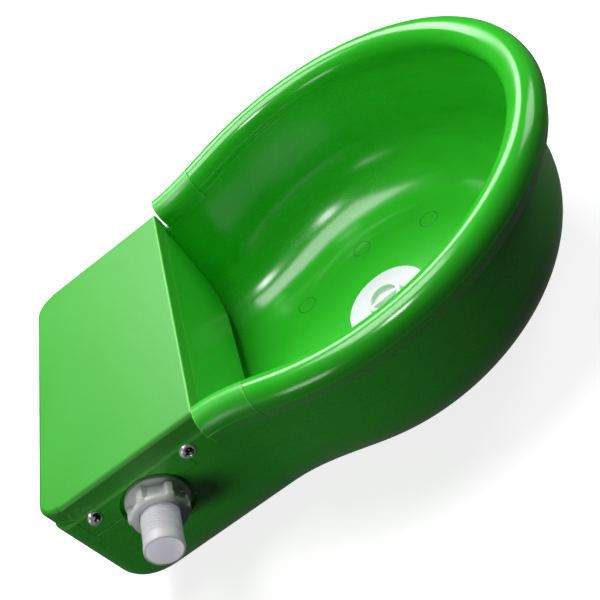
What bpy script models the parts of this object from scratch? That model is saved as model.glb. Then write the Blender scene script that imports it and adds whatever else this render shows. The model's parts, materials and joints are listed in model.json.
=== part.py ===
# Livestock drinking bowl: a round bowl with a rolled rim, moulded in one with a float tank.
# Metres, +Z up. The nose of the bowl points to -Y, the tank's flat back to +Y, the water inlet to -X.
# The origin is at the middle of the overall box, on the surface that the foot stands on.

from math import asin, cos, pi, radians, sin, sqrt

import bmesh
import bpy
from mathutils import Matrix, Vector

# Bowl and rim
RIM_CENTRE_RADIUS = 0.1286
RIM_BEAD_RADIUS = 0.00995
RIM_TOP = 0.1076
RIM_SKIRT_HEIGHT = 0.0188
RIM_SKIRT_TAPER = 0.0022
RIM_SKIRT_WALL = 0.0024
RIM_STEP = 0.0005
RIM_ROOF = 0.0034
BOWL_FILLET = 0.0460
BOWL_DRAFT = 0.0026
WALL_INSET = 0.0054

# Float tank
BOWL_OFFSET = 0.2019
COVER_OVERHANG = 0.0004
TANK_SIDE_DRAFT = 0.0055
TANK_FILLET = 0.0200
TANK_CORNER = 0.0175
RIM_END_GAP = 0.0022
SEAM_DROP = 0.0166
SHOULDER_ANGLE = 14.0
WALL = 0.0032
FOOT_HEIGHT = 0.0050
FOOT_WALL = 0.0030
FOOT_INSET = 0.0060
GAP = 0.0003

# Cover
COVER_HALF_WIDTH = 0.1000
COVER_LENGTH = 0.1026
COVER_SKIRT = 0.0125
COVER_WALL = 0.0028
COVER_EDGE_ROUND = 0.0050
COVER_FRONT_ROUND = 0.0015
COVER_CORNER_STEP = 0.0013
BAFFLE_DROP = 0.0090
THROAT_HEIGHT = 0.0138
BAFFLE_SLOPE = 0.095
BAFFLE_CORNER = 0.0240
BAFFLE_WALL = 0.0026
BAFFLE_GAP = 0.0006
LUG_WIDTH = 0.0120
LUG_WALL = 0.0032
LUG_END = 0.0064
LUG_GAP = 0.0004

# Cover screws
SCREW_FRONT_ROOM = 0.0173
SCREW_REAR_ROOM = 0.0227
SCREW_DROP = 0.0051
SCREW_HEAD_RADIUS = 0.00385
SCREW_HEAD_HEIGHT = 0.0026
SCREW_RADIUS = 0.0019
SCREW_LENGTH = 0.0120
SCREW_CLEARANCE = 0.0004

# Wall fixing holes
FIXING_SPACING = 0.1200
FIXING_DROP = 0.0140
FIXING_RADIUS = 0.0036
FIXING_SLOT = 0.0120

# Inlet and valve
INLET_FORWARD = 0.0005
INLET_DROP = 0.0218
THREAD_RADIUS = 0.01048
TUBE_WALL = 0.00118
TUBE_LENGTH = 0.0368
PORT_CLEARANCE = 0.0004
PORT_RECESS_RADIUS = 0.0200
PORT_RECESS_DEPTH = 0.0030
PORT_PAD_RADIUS = 0.0215
PORT_WALL = 0.0042
GASKET_THICKNESS = 0.0018
GASKET_INSET = 0.0002
VALVE_FLANGE_RADIUS = 0.0170
VALVE_FLANGE_WALL = 0.0035
VALVE_BODY_RADIUS = 0.0105
VALVE_BODY_LENGTH = 0.0246
SUPPLY_RADIUS = 0.0042
SUPPLY_LENGTH = 0.0130
GUIDE_RADIUS = 0.0074
NUT_FLANGE_RADIUS = 0.0175
NUT_FLANGE_WALL = 0.0032
NUT_COLLAR_RADIUS = 0.0142
NUT_CHAMFER = 0.0012
NUT_LENGTH = 0.0140
NUT_LOBE_HEIGHT = 0.0022
NUT_LOBE_WIDTH = 0.0066
NUT_LOBES = 6

# Valve seat and plunger
NOZZLE_SEAT = 0.0027
NOZZLE_DISC = 0.0015
NOZZLE_SHANK = 0.0080
ORIFICE_RADIUS = 0.0019
RING_SECTION = 0.0009
SEAL_THICKNESS = 0.0018
SEAL_RADIUS = 0.0058
PLUNGER_LENGTH = 0.0140
PLUNGER_TRAVEL = 0.0030

# Lever and float
PIVOT_DROP = 0.0100
PIVOT_AHEAD = 0.0100
PIN_RADIUS = 0.0020
PIN_HEAD_RADIUS = 0.0034
PIN_HEAD_LENGTH = 0.0014
PIN_CLEARANCE = 0.0003
CLIP_SECTION = 0.0005
EAR_RADIUS = 0.0062
EAR_WALL = 0.0026
EAR_SPACING = 0.0172
LEVER_BOSS_RADIUS = 0.0050
LEVER_ARM_WALL = 0.0046
LEVER_ARM_WIDTH = 0.0100
LEVER_ARM_TOP = 0.0136
STOP_LENGTH = 0.0155
STOP_WALL = 0.0026
SOCKET_RADIUS = 0.0046
SOCKET_LENGTH = 0.0190
LEVEL_SCREW_RADIUS = 0.0019
LEVEL_SCREW_HEAD = 0.0036
LEVEL_NUT_ACROSS = 0.0070
LEVEL_NUT_HEIGHT = 0.0028
ARM_RADIUS = 0.0022
ARM_GRIP = 0.0075
ARM_NUT_ACROSS = 0.0080
ARM_NUT_HEIGHT = 0.0032
FLOAT_START = 0.0570
FLOAT_END_ROOM = 0.0213
FLOAT_FLOOR_ROOM = 0.00572148
FLOAT_SIDE_ROOM = 0.0213
FLOAT_HEIGHT = 0.0300
FLOAT_EDGE_ROUND = 0.0070
FLOAT_BOSS = 0.0030

# Drain
DRAIN_FORWARD = 0.0062
DRAIN_BARREL_RADIUS = 0.0190
DRAIN_FLANGE_RADIUS = 0.0271
DRAIN_FLANGE_WALL = 0.0023
DRAIN_FOOT_CLEARANCE = 0.0008
DRAIN_NUT_RADIUS = 0.0262
DRAIN_NUT_HEIGHT = 0.0036
DRAIN_GASKET_INSET = 0.0034
DRAIN_GASKET_WALL = 0.0034
DRAIN_GROOVE_DEPTH = 0.0013
PLUG_RADIUS = 0.01195
PLUG_CLEARANCE = 0.0003
PLUG_STAND = 0.0050
PLUG_WALL = 0.0017
PLUG_BAR = 0.0042
PLUG_POCKET_DEPTH = 0.0060
PLUG_LEDGE = 0.0016

# Worked-out places
OVERALL_LENGTH = BOWL_OFFSET + RIM_CENTRE_RADIUS + RIM_BEAD_RADIUS
BACK_Y = OVERALL_LENGTH / 2
BOWL_Y = BACK_Y - BOWL_OFFSET
COVER_FRONT_Y = BACK_Y - COVER_LENGTH
RIM_END_Y = COVER_FRONT_Y - RIM_END_GAP
SEAM_HEIGHT = RIM_TOP - SEAM_DROP
RIM_Z = RIM_TOP - RIM_BEAD_RADIUS
RIM_SKIRT_Z = RIM_TOP - RIM_SKIRT_HEIGHT
WALL_TOP = RIM_Z + 0.4 * RIM_BEAD_RADIUS
TANK_HALF_WIDTH = COVER_HALF_WIDTH - COVER_OVERHANG
WALL_BACK_Y = BACK_Y - COVER_OVERHANG
RIM_HALF_WIDTH = TANK_HALF_WIDTH + WALL_INSET
FLOOR_TOP = FOOT_HEIGHT + WALL
COVER_TOP = SEAM_HEIGHT + COVER_SKIRT
BAFFLE_TOP = COVER_TOP - BAFFLE_DROP
BAFFLE_FOOT = FLOOR_TOP + THROAT_HEIGHT
SCREW_HEIGHT = SEAM_HEIGHT - SCREW_DROP
FIXING_HEIGHT = SEAM_HEIGHT - FIXING_DROP
INLET_Y = (BACK_Y + COVER_FRONT_Y) / 2 - INLET_FORWARD
INLET_HEIGHT = SEAM_HEIGHT - INLET_DROP
PORT_RECESS_X = -TANK_HALF_WIDTH + PORT_RECESS_DEPTH
PORT_PAD_X = PORT_RECESS_X + PORT_WALL
DRAIN_Y = BOWL_Y + DRAIN_FORWARD

PLAN_BOWL_STEPS = 20
PLAN_SHOULDER_STEPS = 8
ROUND_STEPS = 24


def clear_scene():
    for item in list(bpy.data.objects):
        bpy.data.objects.remove(item, do_unlink=True)


def make_collection(name):
    collection = bpy.data.collections.new(name)
    bpy.context.scene.collection.children.link(collection)
    return collection


def make_material(name, colour, roughness, metallic=0.0):
    material = bpy.data.materials.new(name)
    material.use_nodes = True
    shader = material.node_tree.nodes["Principled BSDF"]
    shader.inputs["Base Color"].default_value = (*colour, 1.0)
    shader.inputs["Roughness"].default_value = roughness
    shader.inputs["Metallic"].default_value = metallic
    material.diffuse_color = (*colour, 1.0)
    return material


clear_scene()
PARTS = make_collection("drinking_bowl")
CUTTERS = make_collection("cutters")


def finish(obj, material, angle=35.0):
    obj.data.materials.clear()
    obj.data.materials.append(material)
    obj.data.shade_smooth()
    obj.data.set_sharp_from_angle(angle=radians(angle))
    return obj


def new_object(name, mesh):
    obj = bpy.data.objects.new(name, mesh)
    PARTS.objects.link(obj)
    return obj


def mesh_object(name, shape):
    bmesh.ops.recalc_face_normals(shape, faces=shape.faces)
    mesh = bpy.data.meshes.new(name)
    shape.to_mesh(mesh)
    shape.free()
    return new_object(name, mesh)


def combine(obj, other, operation):
    """Adds or removes the other shape, which is then only a hidden guide."""
    for collection in list(other.users_collection):
        collection.objects.unlink(other)
    CUTTERS.objects.link(other)
    other.hide_render = True
    other.display_type = 'WIRE'
    modifier = obj.modifiers.new(other.name, 'BOOLEAN')
    modifier.object = other
    modifier.operation = operation
    modifier.solver = 'EXACT'
    return obj


def cut(obj, other):
    return combine(obj, other, 'DIFFERENCE')


def add(obj, other):
    return combine(obj, other, 'UNION')


def box(name, low, high):
    shape = bmesh.new()
    size = [high[i] - low[i] for i in range(3)]
    middle = [(high[i] + low[i]) / 2 for i in range(3)]
    place = Matrix.Translation(middle) @ Matrix.Diagonal((*size, 1.0))
    bmesh.ops.create_cube(shape, size=1.0, matrix=place)
    return mesh_object(name, shape)


def turn_to(axis):
    """The turn that brings +Z to the given direction."""
    return Vector((0, 0, 1)).rotation_difference(Vector(axis)).to_matrix().to_4x4()


def cylinder(name, radius, start, end, sides=ROUND_STEPS):
    start = Vector(start)
    end = Vector(end)
    along = end - start
    shape = bmesh.new()
    place = Matrix.Translation((start + end) / 2) @ turn_to(along.normalized())
    bmesh.ops.create_cone(
        shape, cap_ends=True, segments=sides, radius1=radius, radius2=radius,
        depth=along.length, matrix=place)
    return mesh_object(name, shape)


def turned(name, profile, place=(0, 0, 0), axis=(0, 0, 1), closed=True, steps=ROUND_STEPS):
    """A profile of (radius, height) points that runs down its outer side, turned about its axis."""
    mesh = bpy.data.meshes.new(name)
    points = [(radius, 0.0, height) for radius, height in profile]
    edges = [(i, i + 1) for i in range(len(points) - 1)]
    if closed:
        edges.append((len(points) - 1, 0))
    mesh.from_pydata(points, edges, [])
    obj = new_object(name, mesh)
    screw = obj.modifiers.new("turn", 'SCREW')
    screw.axis = 'Z'
    screw.angle = 2 * pi
    screw.steps = steps
    screw.render_steps = steps
    screw.use_merge_vertices = True
    screw.merge_threshold = 0.00001
    if not closed:
        weld = obj.modifiers.new("close poles", 'WELD')
        weld.merge_threshold = 0.00001
    obj.matrix_world = Matrix.Translation(place) @ turn_to(axis)
    return obj


def loft(name, rings, ends='CAPPED'):
    """Skins rings of equal count. Its ends are CAPPED, JOINED to each other, or OPEN at the last ring."""
    shape = bmesh.new()
    loops = [[shape.verts.new(point) for point in ring] for ring in rings]
    count = len(loops[0])
    pairs = list(zip(loops[:-1], loops[1:]))
    if ends == 'JOINED':
        pairs.append((loops[-1], loops[0]))
    for lower, upper in pairs:
        for i in range(count):
            j = (i + 1) % count
            shape.faces.new((lower[i], lower[j], upper[j], upper[i]))
    if ends != 'JOINED':
        shape.faces.new(loops[0])
    if ends == 'CAPPED':
        shape.faces.new(loops[-1])
    return mesh_object(name, shape)


# Plan outlines

def horseshoe(radius, half_width):
    """From the left end of the rim, round the nose, to its right end."""
    turn = radians(90 + SHOULDER_ANGLE)
    half = []
    for i in range(PLAN_BOWL_STEPS + 1):
        angle = turn * i / PLAN_BOWL_STEPS
        half.append(Vector((radius * sin(angle), BOWL_Y - radius * cos(angle))))
    start = half[-1]
    end = Vector((half_width, RIM_END_Y))
    reach = (end - start).length / 3
    lead = start + reach * Vector((cos(turn), sin(turn)))
    tail = end - Vector((0, reach))
    for i in range(1, PLAN_SHOULDER_STEPS + 1):
        t = i / PLAN_SHOULDER_STEPS
        u = 1 - t
        half.append(u * u * u * start + 3 * u * u * t * lead + 3 * u * t * t * tail + t * t * t * end)
    left = [Vector((-point.x, point.y)) for point in reversed(half[1:])]
    return left + half


def rear(half_width, back, corner, corner_steps=5):
    """From the right side, round both rear corners, to the left side."""
    half = []
    for i in range(corner_steps + 1):
        angle = pi / 2 * i / corner_steps
        half.append(Vector((half_width - corner + corner * cos(angle), back - corner + corner * sin(angle))))
    return half + [Vector((-point.x, point.y)) for point in reversed(half)]


def plan(radius, half_width, back, corner):
    return horseshoe(radius, half_width) + rear(half_width, back, corner)


def fillet_inset(height, radius):
    if height >= radius:
        return 0.0
    return radius - sqrt(radius * radius - (radius - height) ** 2)


def depth_share(height):
    """Grows from 0 at the seam to 1 at the underside."""
    return max(0.0, SEAM_HEIGHT - height) / (SEAM_HEIGHT - FOOT_HEIGHT)


def side_draft(height):
    """How far the tank's side wall has come in at a height, below the seam."""
    return TANK_SIDE_DRAFT * depth_share(height)


def wall_ring(height):
    """The outline of the shell's outside at a height: the drafts, and the fillets up from the underside."""
    above = height - FOOT_HEIGHT
    draft = BOWL_DRAFT * depth_share(height)
    radius = RIM_CENTRE_RADIUS - WALL_INSET - draft - fillet_inset(above, BOWL_FILLET)
    corner_inset = fillet_inset(above, TANK_FILLET)
    side = TANK_HALF_WIDTH - side_draft(height) - corner_inset
    return [(p.x, p.y, height) for p in plan(radius, side, WALL_BACK_Y - corner_inset, TANK_CORNER)]


def wall_heights(steps=8):
    """Levels that follow the bowl's fillet in equal turns, then the seam and the top under the rim."""
    heights = [FOOT_HEIGHT + BOWL_FILLET * (1 - cos(pi / 2 * i / steps)) for i in range(steps + 1)]
    return heights + [SEAM_HEIGHT, WALL_TOP]


# The one-piece bowl and tank

def rim_solid():
    section = []
    start = 216
    for i in range(13):
        angle = radians(start - start * i / 12)
        section.append((RIM_BEAD_RADIUS * cos(angle), RIM_Z + RIM_BEAD_RADIUS * sin(angle)))
    step_z = RIM_Z - 2 * RIM_STEP
    section.append((RIM_BEAD_RADIUS, step_z))
    section.append((RIM_BEAD_RADIUS - RIM_STEP, step_z - RIM_STEP))
    skirt = RIM_BEAD_RADIUS - RIM_STEP - RIM_SKIRT_TAPER
    section.append((skirt, RIM_SKIRT_Z))
    inner = -(WALL_INSET + 0.4 * WALL)
    section.append((inner, RIM_SKIRT_Z))
    return section_sweep("rim_solid", section)


def section_sweep(name, section, stop_short=0):
    """Carries a section of (offset, height) points along the rim; offset 0 is the rim's centre line."""
    lines = [horseshoe(RIM_CENTRE_RADIUS + u, RIM_HALF_WIDTH + u) for u, z in section]
    rings = []
    for station in range(stop_short, len(lines[0]) - stop_short):
        ring = []
        for line, (u, z) in zip(lines, section):
            ring.append((line[station].x, line[station].y, z))
        rings.append(ring)
    return loft(name, rings)


def rim_channel():
    """The hollow under the rolled rim, open downwards and closed by a web at each end."""
    inner = -(WALL_INSET + 0.2 * WALL)
    outer = RIM_BEAD_RADIUS - RIM_STEP - RIM_SKIRT_WALL
    middle = (inner + outer) / 2
    half = (outer - inner) / 2
    rise = RIM_TOP - RIM_ROOF - RIM_Z
    section = []
    for i in range(7):
        angle = pi * i / 6
        section.append((middle + half * cos(angle), RIM_Z + rise * sin(angle)))
    section.append((inner, RIM_SKIRT_Z - WALL))
    section.append((outer - RIM_SKIRT_TAPER, RIM_SKIRT_Z - WALL))
    return section_sweep("rim_channel", section, 1)


def foot_rib():
    flat_radius = RIM_CENTRE_RADIUS - WALL_INSET - BOWL_DRAFT - BOWL_FILLET
    flat_side = TANK_HALF_WIDTH - TANK_SIDE_DRAFT - TANK_FILLET
    rings = []
    for inset, height in ((0, 0), (0, 1), (FOOT_WALL, 1), (FOOT_WALL, 0)):
        line = plan(
            flat_radius - FOOT_INSET - inset, flat_side - FOOT_INSET - inset,
            WALL_BACK_Y - TANK_FILLET - FOOT_INSET - inset, TANK_CORNER - inset)
        z = height * (FOOT_HEIGHT + WALL / 2)
        rings.append([(p.x, p.y, z) for p in line])
    return loft("foot_rib", rings, 'JOINED')


def bowl_shell(material):
    shell = loft("bowl_shell", [wall_ring(height) for height in wall_heights()], 'OPEN')
    wall = shell.modifiers.new("wall", 'SOLIDIFY')
    wall.thickness = WALL
    wall.offset = -1
    wall.use_even_offset = True
    rim = rim_solid()
    cut(rim, rim_channel())
    add(shell, rim)
    side = TANK_HALF_WIDTH + 2 * RIM_BEAD_RADIUS
    cut(shell, box("seam_cut", (-side, RIM_END_Y - GAP, SEAM_HEIGHT), (side, BACK_Y + WALL, RIM_TOP + WALL)))
    add(shell, foot_rib())
    pad = cylinder(
        "port_pad", PORT_PAD_RADIUS, (PORT_RECESS_X - GAP / 3, INLET_Y, INLET_HEIGHT),
        (PORT_PAD_X, INLET_Y, INLET_HEIGHT))
    add(shell, pad)
    recess = cylinder(
        "port_recess", PORT_RECESS_RADIUS, (-COVER_HALF_WIDTH - WALL, INLET_Y, INLET_HEIGHT),
        (PORT_RECESS_X, INLET_Y, INLET_HEIGHT))
    cut(shell, recess)
    port = cylinder(
        "port_hole", THREAD_RADIUS + PORT_CLEARANCE, (-COVER_HALF_WIDTH - WALL, INLET_Y, INLET_HEIGHT),
        (PORT_PAD_X + WALL, INLET_Y, INLET_HEIGHT))
    cut(shell, port)
    for index, (side_sign, y) in enumerate(screw_places()):
        hole = cylinder(
            f"screw_hole_{index}", SCREW_RADIUS + SCREW_CLEARANCE,
            (side_sign * (TANK_HALF_WIDTH - 3 * WALL), y, SCREW_HEIGHT),
            (side_sign * (TANK_HALF_WIDTH + WALL), y, SCREW_HEIGHT), sides=12)
        cut(shell, hole)
    for side_sign in (-1, 1):
        cut(shell, fixing_slot(side_sign))
    drain = cylinder("drain_hole", DRAIN_BARREL_RADIUS + GAP, (0, DRAIN_Y, 0), (0, DRAIN_Y, 2 * FLOOR_TOP))
    cut(shell, drain)
    return finish(shell, material)


def fixing_slot(side_sign):
    """An upright slot with round ends through the tank's back wall."""
    x = side_sign * FIXING_SPACING / 2
    half = FIXING_SLOT / 2 - FIXING_RADIUS
    shape = bmesh.new()
    loop = []
    for i in range(16):
        angle = 2 * pi * i / 16
        shift = half if sin(angle) > 0 else -half
        z = FIXING_HEIGHT + shift + FIXING_RADIUS * sin(angle)
        loop.append(shape.verts.new((x + FIXING_RADIUS * cos(angle), BACK_Y - 3 * WALL, z)))
    face = shape.faces.new(loop)
    result = bmesh.ops.extrude_face_region(shape, geom=[face])
    moved = [item for item in result["geom"] if isinstance(item, bmesh.types.BMVert)]
    bmesh.ops.translate(shape, verts=moved, vec=(0, 5 * WALL, 0))
    return mesh_object(f"fixing_slot_{'left' if side_sign < 0 else 'right'}", shape)


SCREW_NAMES = (
    "cover_screw_front_left", "cover_screw_rear_left", "cover_screw_front_right", "cover_screw_rear_right")


def screw_places():
    for side_sign in (-1, 1):
        for y in (COVER_FRONT_Y + SCREW_FRONT_ROOM, BACK_Y - SCREW_REAR_ROOM):
            yield side_sign, y


# The cover

def cover_ring(inset, front_inset, height):
    """A rear-rounded rectangle; the stretch by the rear corners is stepped in a little."""
    side = COVER_HALF_WIDTH - inset
    narrow = side - COVER_CORNER_STEP
    corner = max(TANK_CORNER - inset, 0.004)
    back = BACK_Y - inset
    step_y = BACK_Y - TANK_CORNER - COVER_CORNER_STEP
    half = [Vector((0, COVER_FRONT_Y + front_inset)), Vector((side, COVER_FRONT_Y + front_inset))]
    half.append(Vector((side, step_y)))
    for i in range(7):
        angle = pi / 2 * i / 6
        half.append(Vector((narrow - corner + corner * cos(angle), back - corner + corner * sin(angle))))
    line = half + [Vector((-point.x, point.y)) for point in reversed(half[1:])]
    return [(p.x, p.y, height) for p in line]


def baffle_half_width(height):
    """The front plate follows the tank's drafted inner wall with a narrow gap."""
    return TANK_HALF_WIDTH - side_draft(height) - WALL - BAFFLE_GAP


def baffle_plate():
    foot_half = baffle_half_width(BAFFLE_FOOT + BAFFLE_CORNER)
    half = [(baffle_half_width(SEAM_HEIGHT), BAFFLE_TOP + BAFFLE_WALL / 2)]
    half.append((baffle_half_width(SEAM_HEIGHT), SEAM_HEIGHT))
    for i in range(7):
        angle = pi / 2 * i / 6
        z = BAFFLE_FOOT + BAFFLE_CORNER * (1 - sin(angle))
        half.append((foot_half - BAFFLE_CORNER * (1 - cos(angle)), z))
    outline = half + [(-x, z) for x, z in reversed(half)]
    rings = []
    for depth in (0.0, BAFFLE_WALL):
        ring = []
        for x, z in outline:
            lean = BAFFLE_SLOPE * (BAFFLE_TOP - z)
            ring.append((x, COVER_FRONT_Y + GAP + lean + depth, z))
        rings.append(ring)
    return loft("baffle_plate", rings)


def cover_lug(side_sign, y, index):
    bottom = SCREW_HEIGHT - LUG_END
    outer = TANK_HALF_WIDTH - side_draft(bottom) - WALL - LUG_GAP
    inner = outer - LUG_WALL
    low = (min(side_sign * outer, side_sign * inner), y - LUG_WIDTH / 2, bottom)
    high = (max(side_sign * outer, side_sign * inner), y + LUG_WIDTH / 2, COVER_TOP - COVER_WALL / 2)
    return box(f"cover_lug_{index}", low, high)


def valve_cover(material):
    bottom = SEAM_HEIGHT + GAP
    round_start = COVER_TOP - COVER_EDGE_ROUND
    outside = [cover_ring(0.0, 0.0, bottom)]
    for i in range(5):
        angle = pi / 2 * i / 4
        inset = COVER_EDGE_ROUND * (1 - cos(angle))
        front = COVER_FRONT_ROUND * (1 - cos(angle))
        outside.append(cover_ring(inset, front, round_start + COVER_EDGE_ROUND * sin(angle)))
    ceiling = COVER_TOP - COVER_WALL
    inside = [cover_ring(COVER_WALL, COVER_WALL, bottom), cover_ring(COVER_WALL, COVER_WALL, round_start)]
    inside.append(cover_ring(1.5 * COVER_WALL, COVER_WALL, ceiling))
    cover = loft("valve_cover", inside[::-1] + outside)
    side = 2 * COVER_HALF_WIDTH
    low = (-side, COVER_FRONT_Y - COVER_WALL, SEAM_HEIGHT - COVER_WALL)
    cut(cover, box("front_set_back", low, (side, COVER_FRONT_Y + GAP, BAFFLE_TOP)))
    add(cover, baffle_plate())
    for index, (side_sign, y) in enumerate(screw_places()):
        lug = cover_lug(side_sign, y, index)
        add(cover, lug)
        hole = cylinder(
            f"lug_hole_{index}", SCREW_RADIUS + GAP,
            (side_sign * (TANK_HALF_WIDTH - 6 * WALL), y, SCREW_HEIGHT),
            (side_sign * (TANK_HALF_WIDTH - WALL / 2), y, SCREW_HEIGHT), sides=12)
        cut(cover, hole)
    return finish(cover, material)


def cover_screw(name, side_sign, y, material):
    """A pan-head screw whose head is just clear of the drafted side wall."""
    seat = TANK_HALF_WIDTH - side_draft(SCREW_HEIGHT + SCREW_HEAD_RADIUS) + GAP / 2
    crown = seat + SCREW_HEAD_HEIGHT
    profile = [
        (0.0, crown),
        (0.60 * SCREW_HEAD_RADIUS, crown),
        (0.90 * SCREW_HEAD_RADIUS, crown - 0.22 * SCREW_HEAD_HEIGHT),
        (SCREW_HEAD_RADIUS, crown - 0.50 * SCREW_HEAD_HEIGHT),
        (SCREW_HEAD_RADIUS, seat),
        (SCREW_RADIUS, seat),
        (SCREW_RADIUS, seat - SCREW_LENGTH + SCREW_RADIUS),
        (0.0, seat - SCREW_LENGTH),
    ]
    screw = turned(name, profile, (0, y, SCREW_HEIGHT), (side_sign, 0, 0), closed=False, steps=16)
    return finish(screw, material)


# The inlet valve; x runs inwards from the tank's left wall

TUBE_END_X = PORT_RECESS_X - TUBE_LENGTH
TUBE_BORE = THREAD_RADIUS - TUBE_WALL
FLANGE_X = PORT_PAD_X + 2 * GAP + GASKET_THICKNESS
BODY_X = FLANGE_X + VALVE_FLANGE_WALL
BODY_END_X = BODY_X + VALVE_BODY_LENGTH
SUPPLY_END_X = FLANGE_X + SUPPLY_LENGTH
SEAT_X = SUPPLY_END_X + GAP + NOZZLE_SEAT
SEAL_X = SEAT_X + PLUNGER_TRAVEL + GAP
PLUNGER_X = SEAL_X + 0.4 * SEAL_THICKNESS
PLUNGER_END_X = PLUNGER_X + PLUNGER_LENGTH
PIVOT_X = BODY_END_X + PIVOT_AHEAD
PIVOT_Z = INLET_HEIGHT - PIVOT_DROP
FLOAT_END = TANK_HALF_WIDTH - WALL - FLOAT_END_ROOM - PIVOT_X
FLOAT_CENTRE = (FLOAT_START + FLOAT_END) / 2
FLOAT_WIDTH = COVER_LENGTH - 2 * FLOAT_SIDE_ROOM


def along_inlet(name, profile, closed=True, steps=ROUND_STEPS):
    """A piece turned about the inlet's axis, its heights measured along +X from the middle plane."""
    return turned(name, profile, (0, INLET_Y, INLET_HEIGHT), (1, 0, 0), closed, steps)


def valve_body(material):
    profile = [
        (TUBE_BORE, FLANGE_X),
        (SUPPLY_RADIUS, FLANGE_X),
        (SUPPLY_RADIUS, SUPPLY_END_X),
        (GUIDE_RADIUS, SUPPLY_END_X),
        (GUIDE_RADIUS, BODY_END_X),
        (VALVE_BODY_RADIUS, BODY_END_X),
        (VALVE_BODY_RADIUS, BODY_X),
        (VALVE_FLANGE_RADIUS, BODY_X),
        (VALVE_FLANGE_RADIUS, FLANGE_X),
        (THREAD_RADIUS, FLANGE_X),
        (THREAD_RADIUS, TUBE_END_X),
        (TUBE_BORE, TUBE_END_X),
    ]
    body = along_inlet("valve_body", profile)
    for index, side_sign in enumerate((-1, 1)):
        inner = side_sign * EAR_SPACING / 2
        outer = side_sign * (EAR_SPACING / 2 + EAR_WALL)
        root_x = BODY_END_X - EAR_RADIUS
        bar_low = (root_x, INLET_Y + min(inner, outer), PIVOT_Z - EAR_RADIUS)
        bar_high = (PIVOT_X, INLET_Y + max(inner, outer), PIVOT_Z + EAR_RADIUS)
        ear = box(f"ear_bar_{index}", bar_low, bar_high)
        eye = cylinder(
            f"ear_eye_{index}", EAR_RADIUS, (PIVOT_X, INLET_Y + inner, PIVOT_Z),
            (PIVOT_X, INLET_Y + outer, PIVOT_Z), sides=20)
        add(ear, eye)
        add(body, ear)
    web_half = (EAR_SPACING + EAR_WALL) / 2
    web_low = (BODY_X - GAP, INLET_Y - web_half, INLET_HEIGHT - VALVE_BODY_RADIUS - GAP)
    web_high = (root_x + EAR_RADIUS / 2, INLET_Y + web_half, INLET_HEIGHT - GUIDE_RADIUS - GAP)
    add(body, box("ear_web", web_low, web_high))
    eye_hole = cylinder(
        "ear_holes", PIN_RADIUS + PIN_CLEARANCE, (PIVOT_X, INLET_Y - EAR_SPACING, PIVOT_Z),
        (PIVOT_X, INLET_Y + EAR_SPACING, PIVOT_Z), sides=16)
    cut(body, eye_hole)
    outlet_low = (SEAT_X - NOZZLE_SEAT / 2, INLET_Y - GUIDE_RADIUS / 2, INLET_HEIGHT - 2 * VALVE_BODY_RADIUS)
    outlet_high = (SEAL_X + GAP, INLET_Y + GUIDE_RADIUS / 2, INLET_HEIGHT - GUIDE_RADIUS / 2)
    cut(body, box("outlet_slot", outlet_low, outlet_high))
    return finish(body, material)


def inlet_gasket(material):
    start = PORT_PAD_X + GAP
    end = start + GASKET_THICKNESS
    bore = THREAD_RADIUS + PORT_CLEARANCE
    rim = VALVE_FLANGE_RADIUS - GASKET_INSET
    profile = [(bore, end), (rim, end), (rim, start), (bore, start)]
    return finish(along_inlet("inlet_gasket", profile), material)


def inlet_lock_nut(material):
    """A flanged nut with lobes round its collar, screwed down into the wall's recess."""
    start = PORT_RECESS_X - GAP
    face = start - NUT_LENGTH
    shoulder = start - NUT_FLANGE_WALL
    bore = THREAD_RADIUS + PORT_CLEARANCE
    profile = [
        (bore, start),
        (NUT_FLANGE_RADIUS, start),
        (NUT_FLANGE_RADIUS, shoulder),
        (NUT_COLLAR_RADIUS, shoulder),
        (NUT_COLLAR_RADIUS, face + NUT_CHAMFER),
        (NUT_COLLAR_RADIUS - NUT_CHAMFER, face),
        (bore, face),
    ]
    nut = along_inlet("inlet_lock_nut", profile, steps=36)
    base = NUT_COLLAR_RADIUS - NUT_CHAMFER
    for index in range(NUT_LOBES):
        angle = 2 * pi * index / NUT_LOBES + pi / 2
        turn = Matrix.Translation((0, INLET_Y, INLET_HEIGHT)) @ Matrix.Rotation(angle, 4, 'X')
        lobe = box(
            f"nut_lobe_{index}", (face + 2 * NUT_CHAMFER, -NUT_LOBE_WIDTH / 2, base),
            (shoulder + NUT_CHAMFER, NUT_LOBE_WIDTH / 2, NUT_COLLAR_RADIUS + NUT_LOBE_HEIGHT))
        lobe.data.transform(turn)
        add(nut, lobe)
    return finish(nut, material)


def valve_nozzle(material):
    disc = SUPPLY_END_X + GAP
    face = disc + NOZZLE_DISC
    radius = GUIDE_RADIUS - GAP
    shank = SUPPLY_RADIUS - GAP
    groove = shank - RING_SECTION
    middle = disc - NOZZLE_SHANK / 2
    tail = disc - NOZZLE_SHANK
    profile = [
        (ORIFICE_RADIUS, SEAT_X),
        (ORIFICE_RADIUS + RING_SECTION, SEAT_X),
        (ORIFICE_RADIUS + 2 * RING_SECTION, face),
        (radius, face),
        (radius, disc),
        (shank, disc),
        (shank, middle + RING_SECTION),
        (groove, middle + RING_SECTION),
        (groove, middle - RING_SECTION),
        (shank, middle - RING_SECTION),
        (shank, tail),
        (ORIFICE_RADIUS, tail),
    ]
    return finish(along_inlet("valve_nozzle", profile), material)


def ring_profile(inner, outer, low, high, steps=8):
    points = []
    for i in range(steps):
        angle = -2 * pi * i / steps
        radius = (inner + outer) / 2 + (outer - inner) / 2 * cos(angle)
        points.append((radius, (low + high) / 2 + (high - low) / 2 * sin(angle)))
    return points


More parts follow.
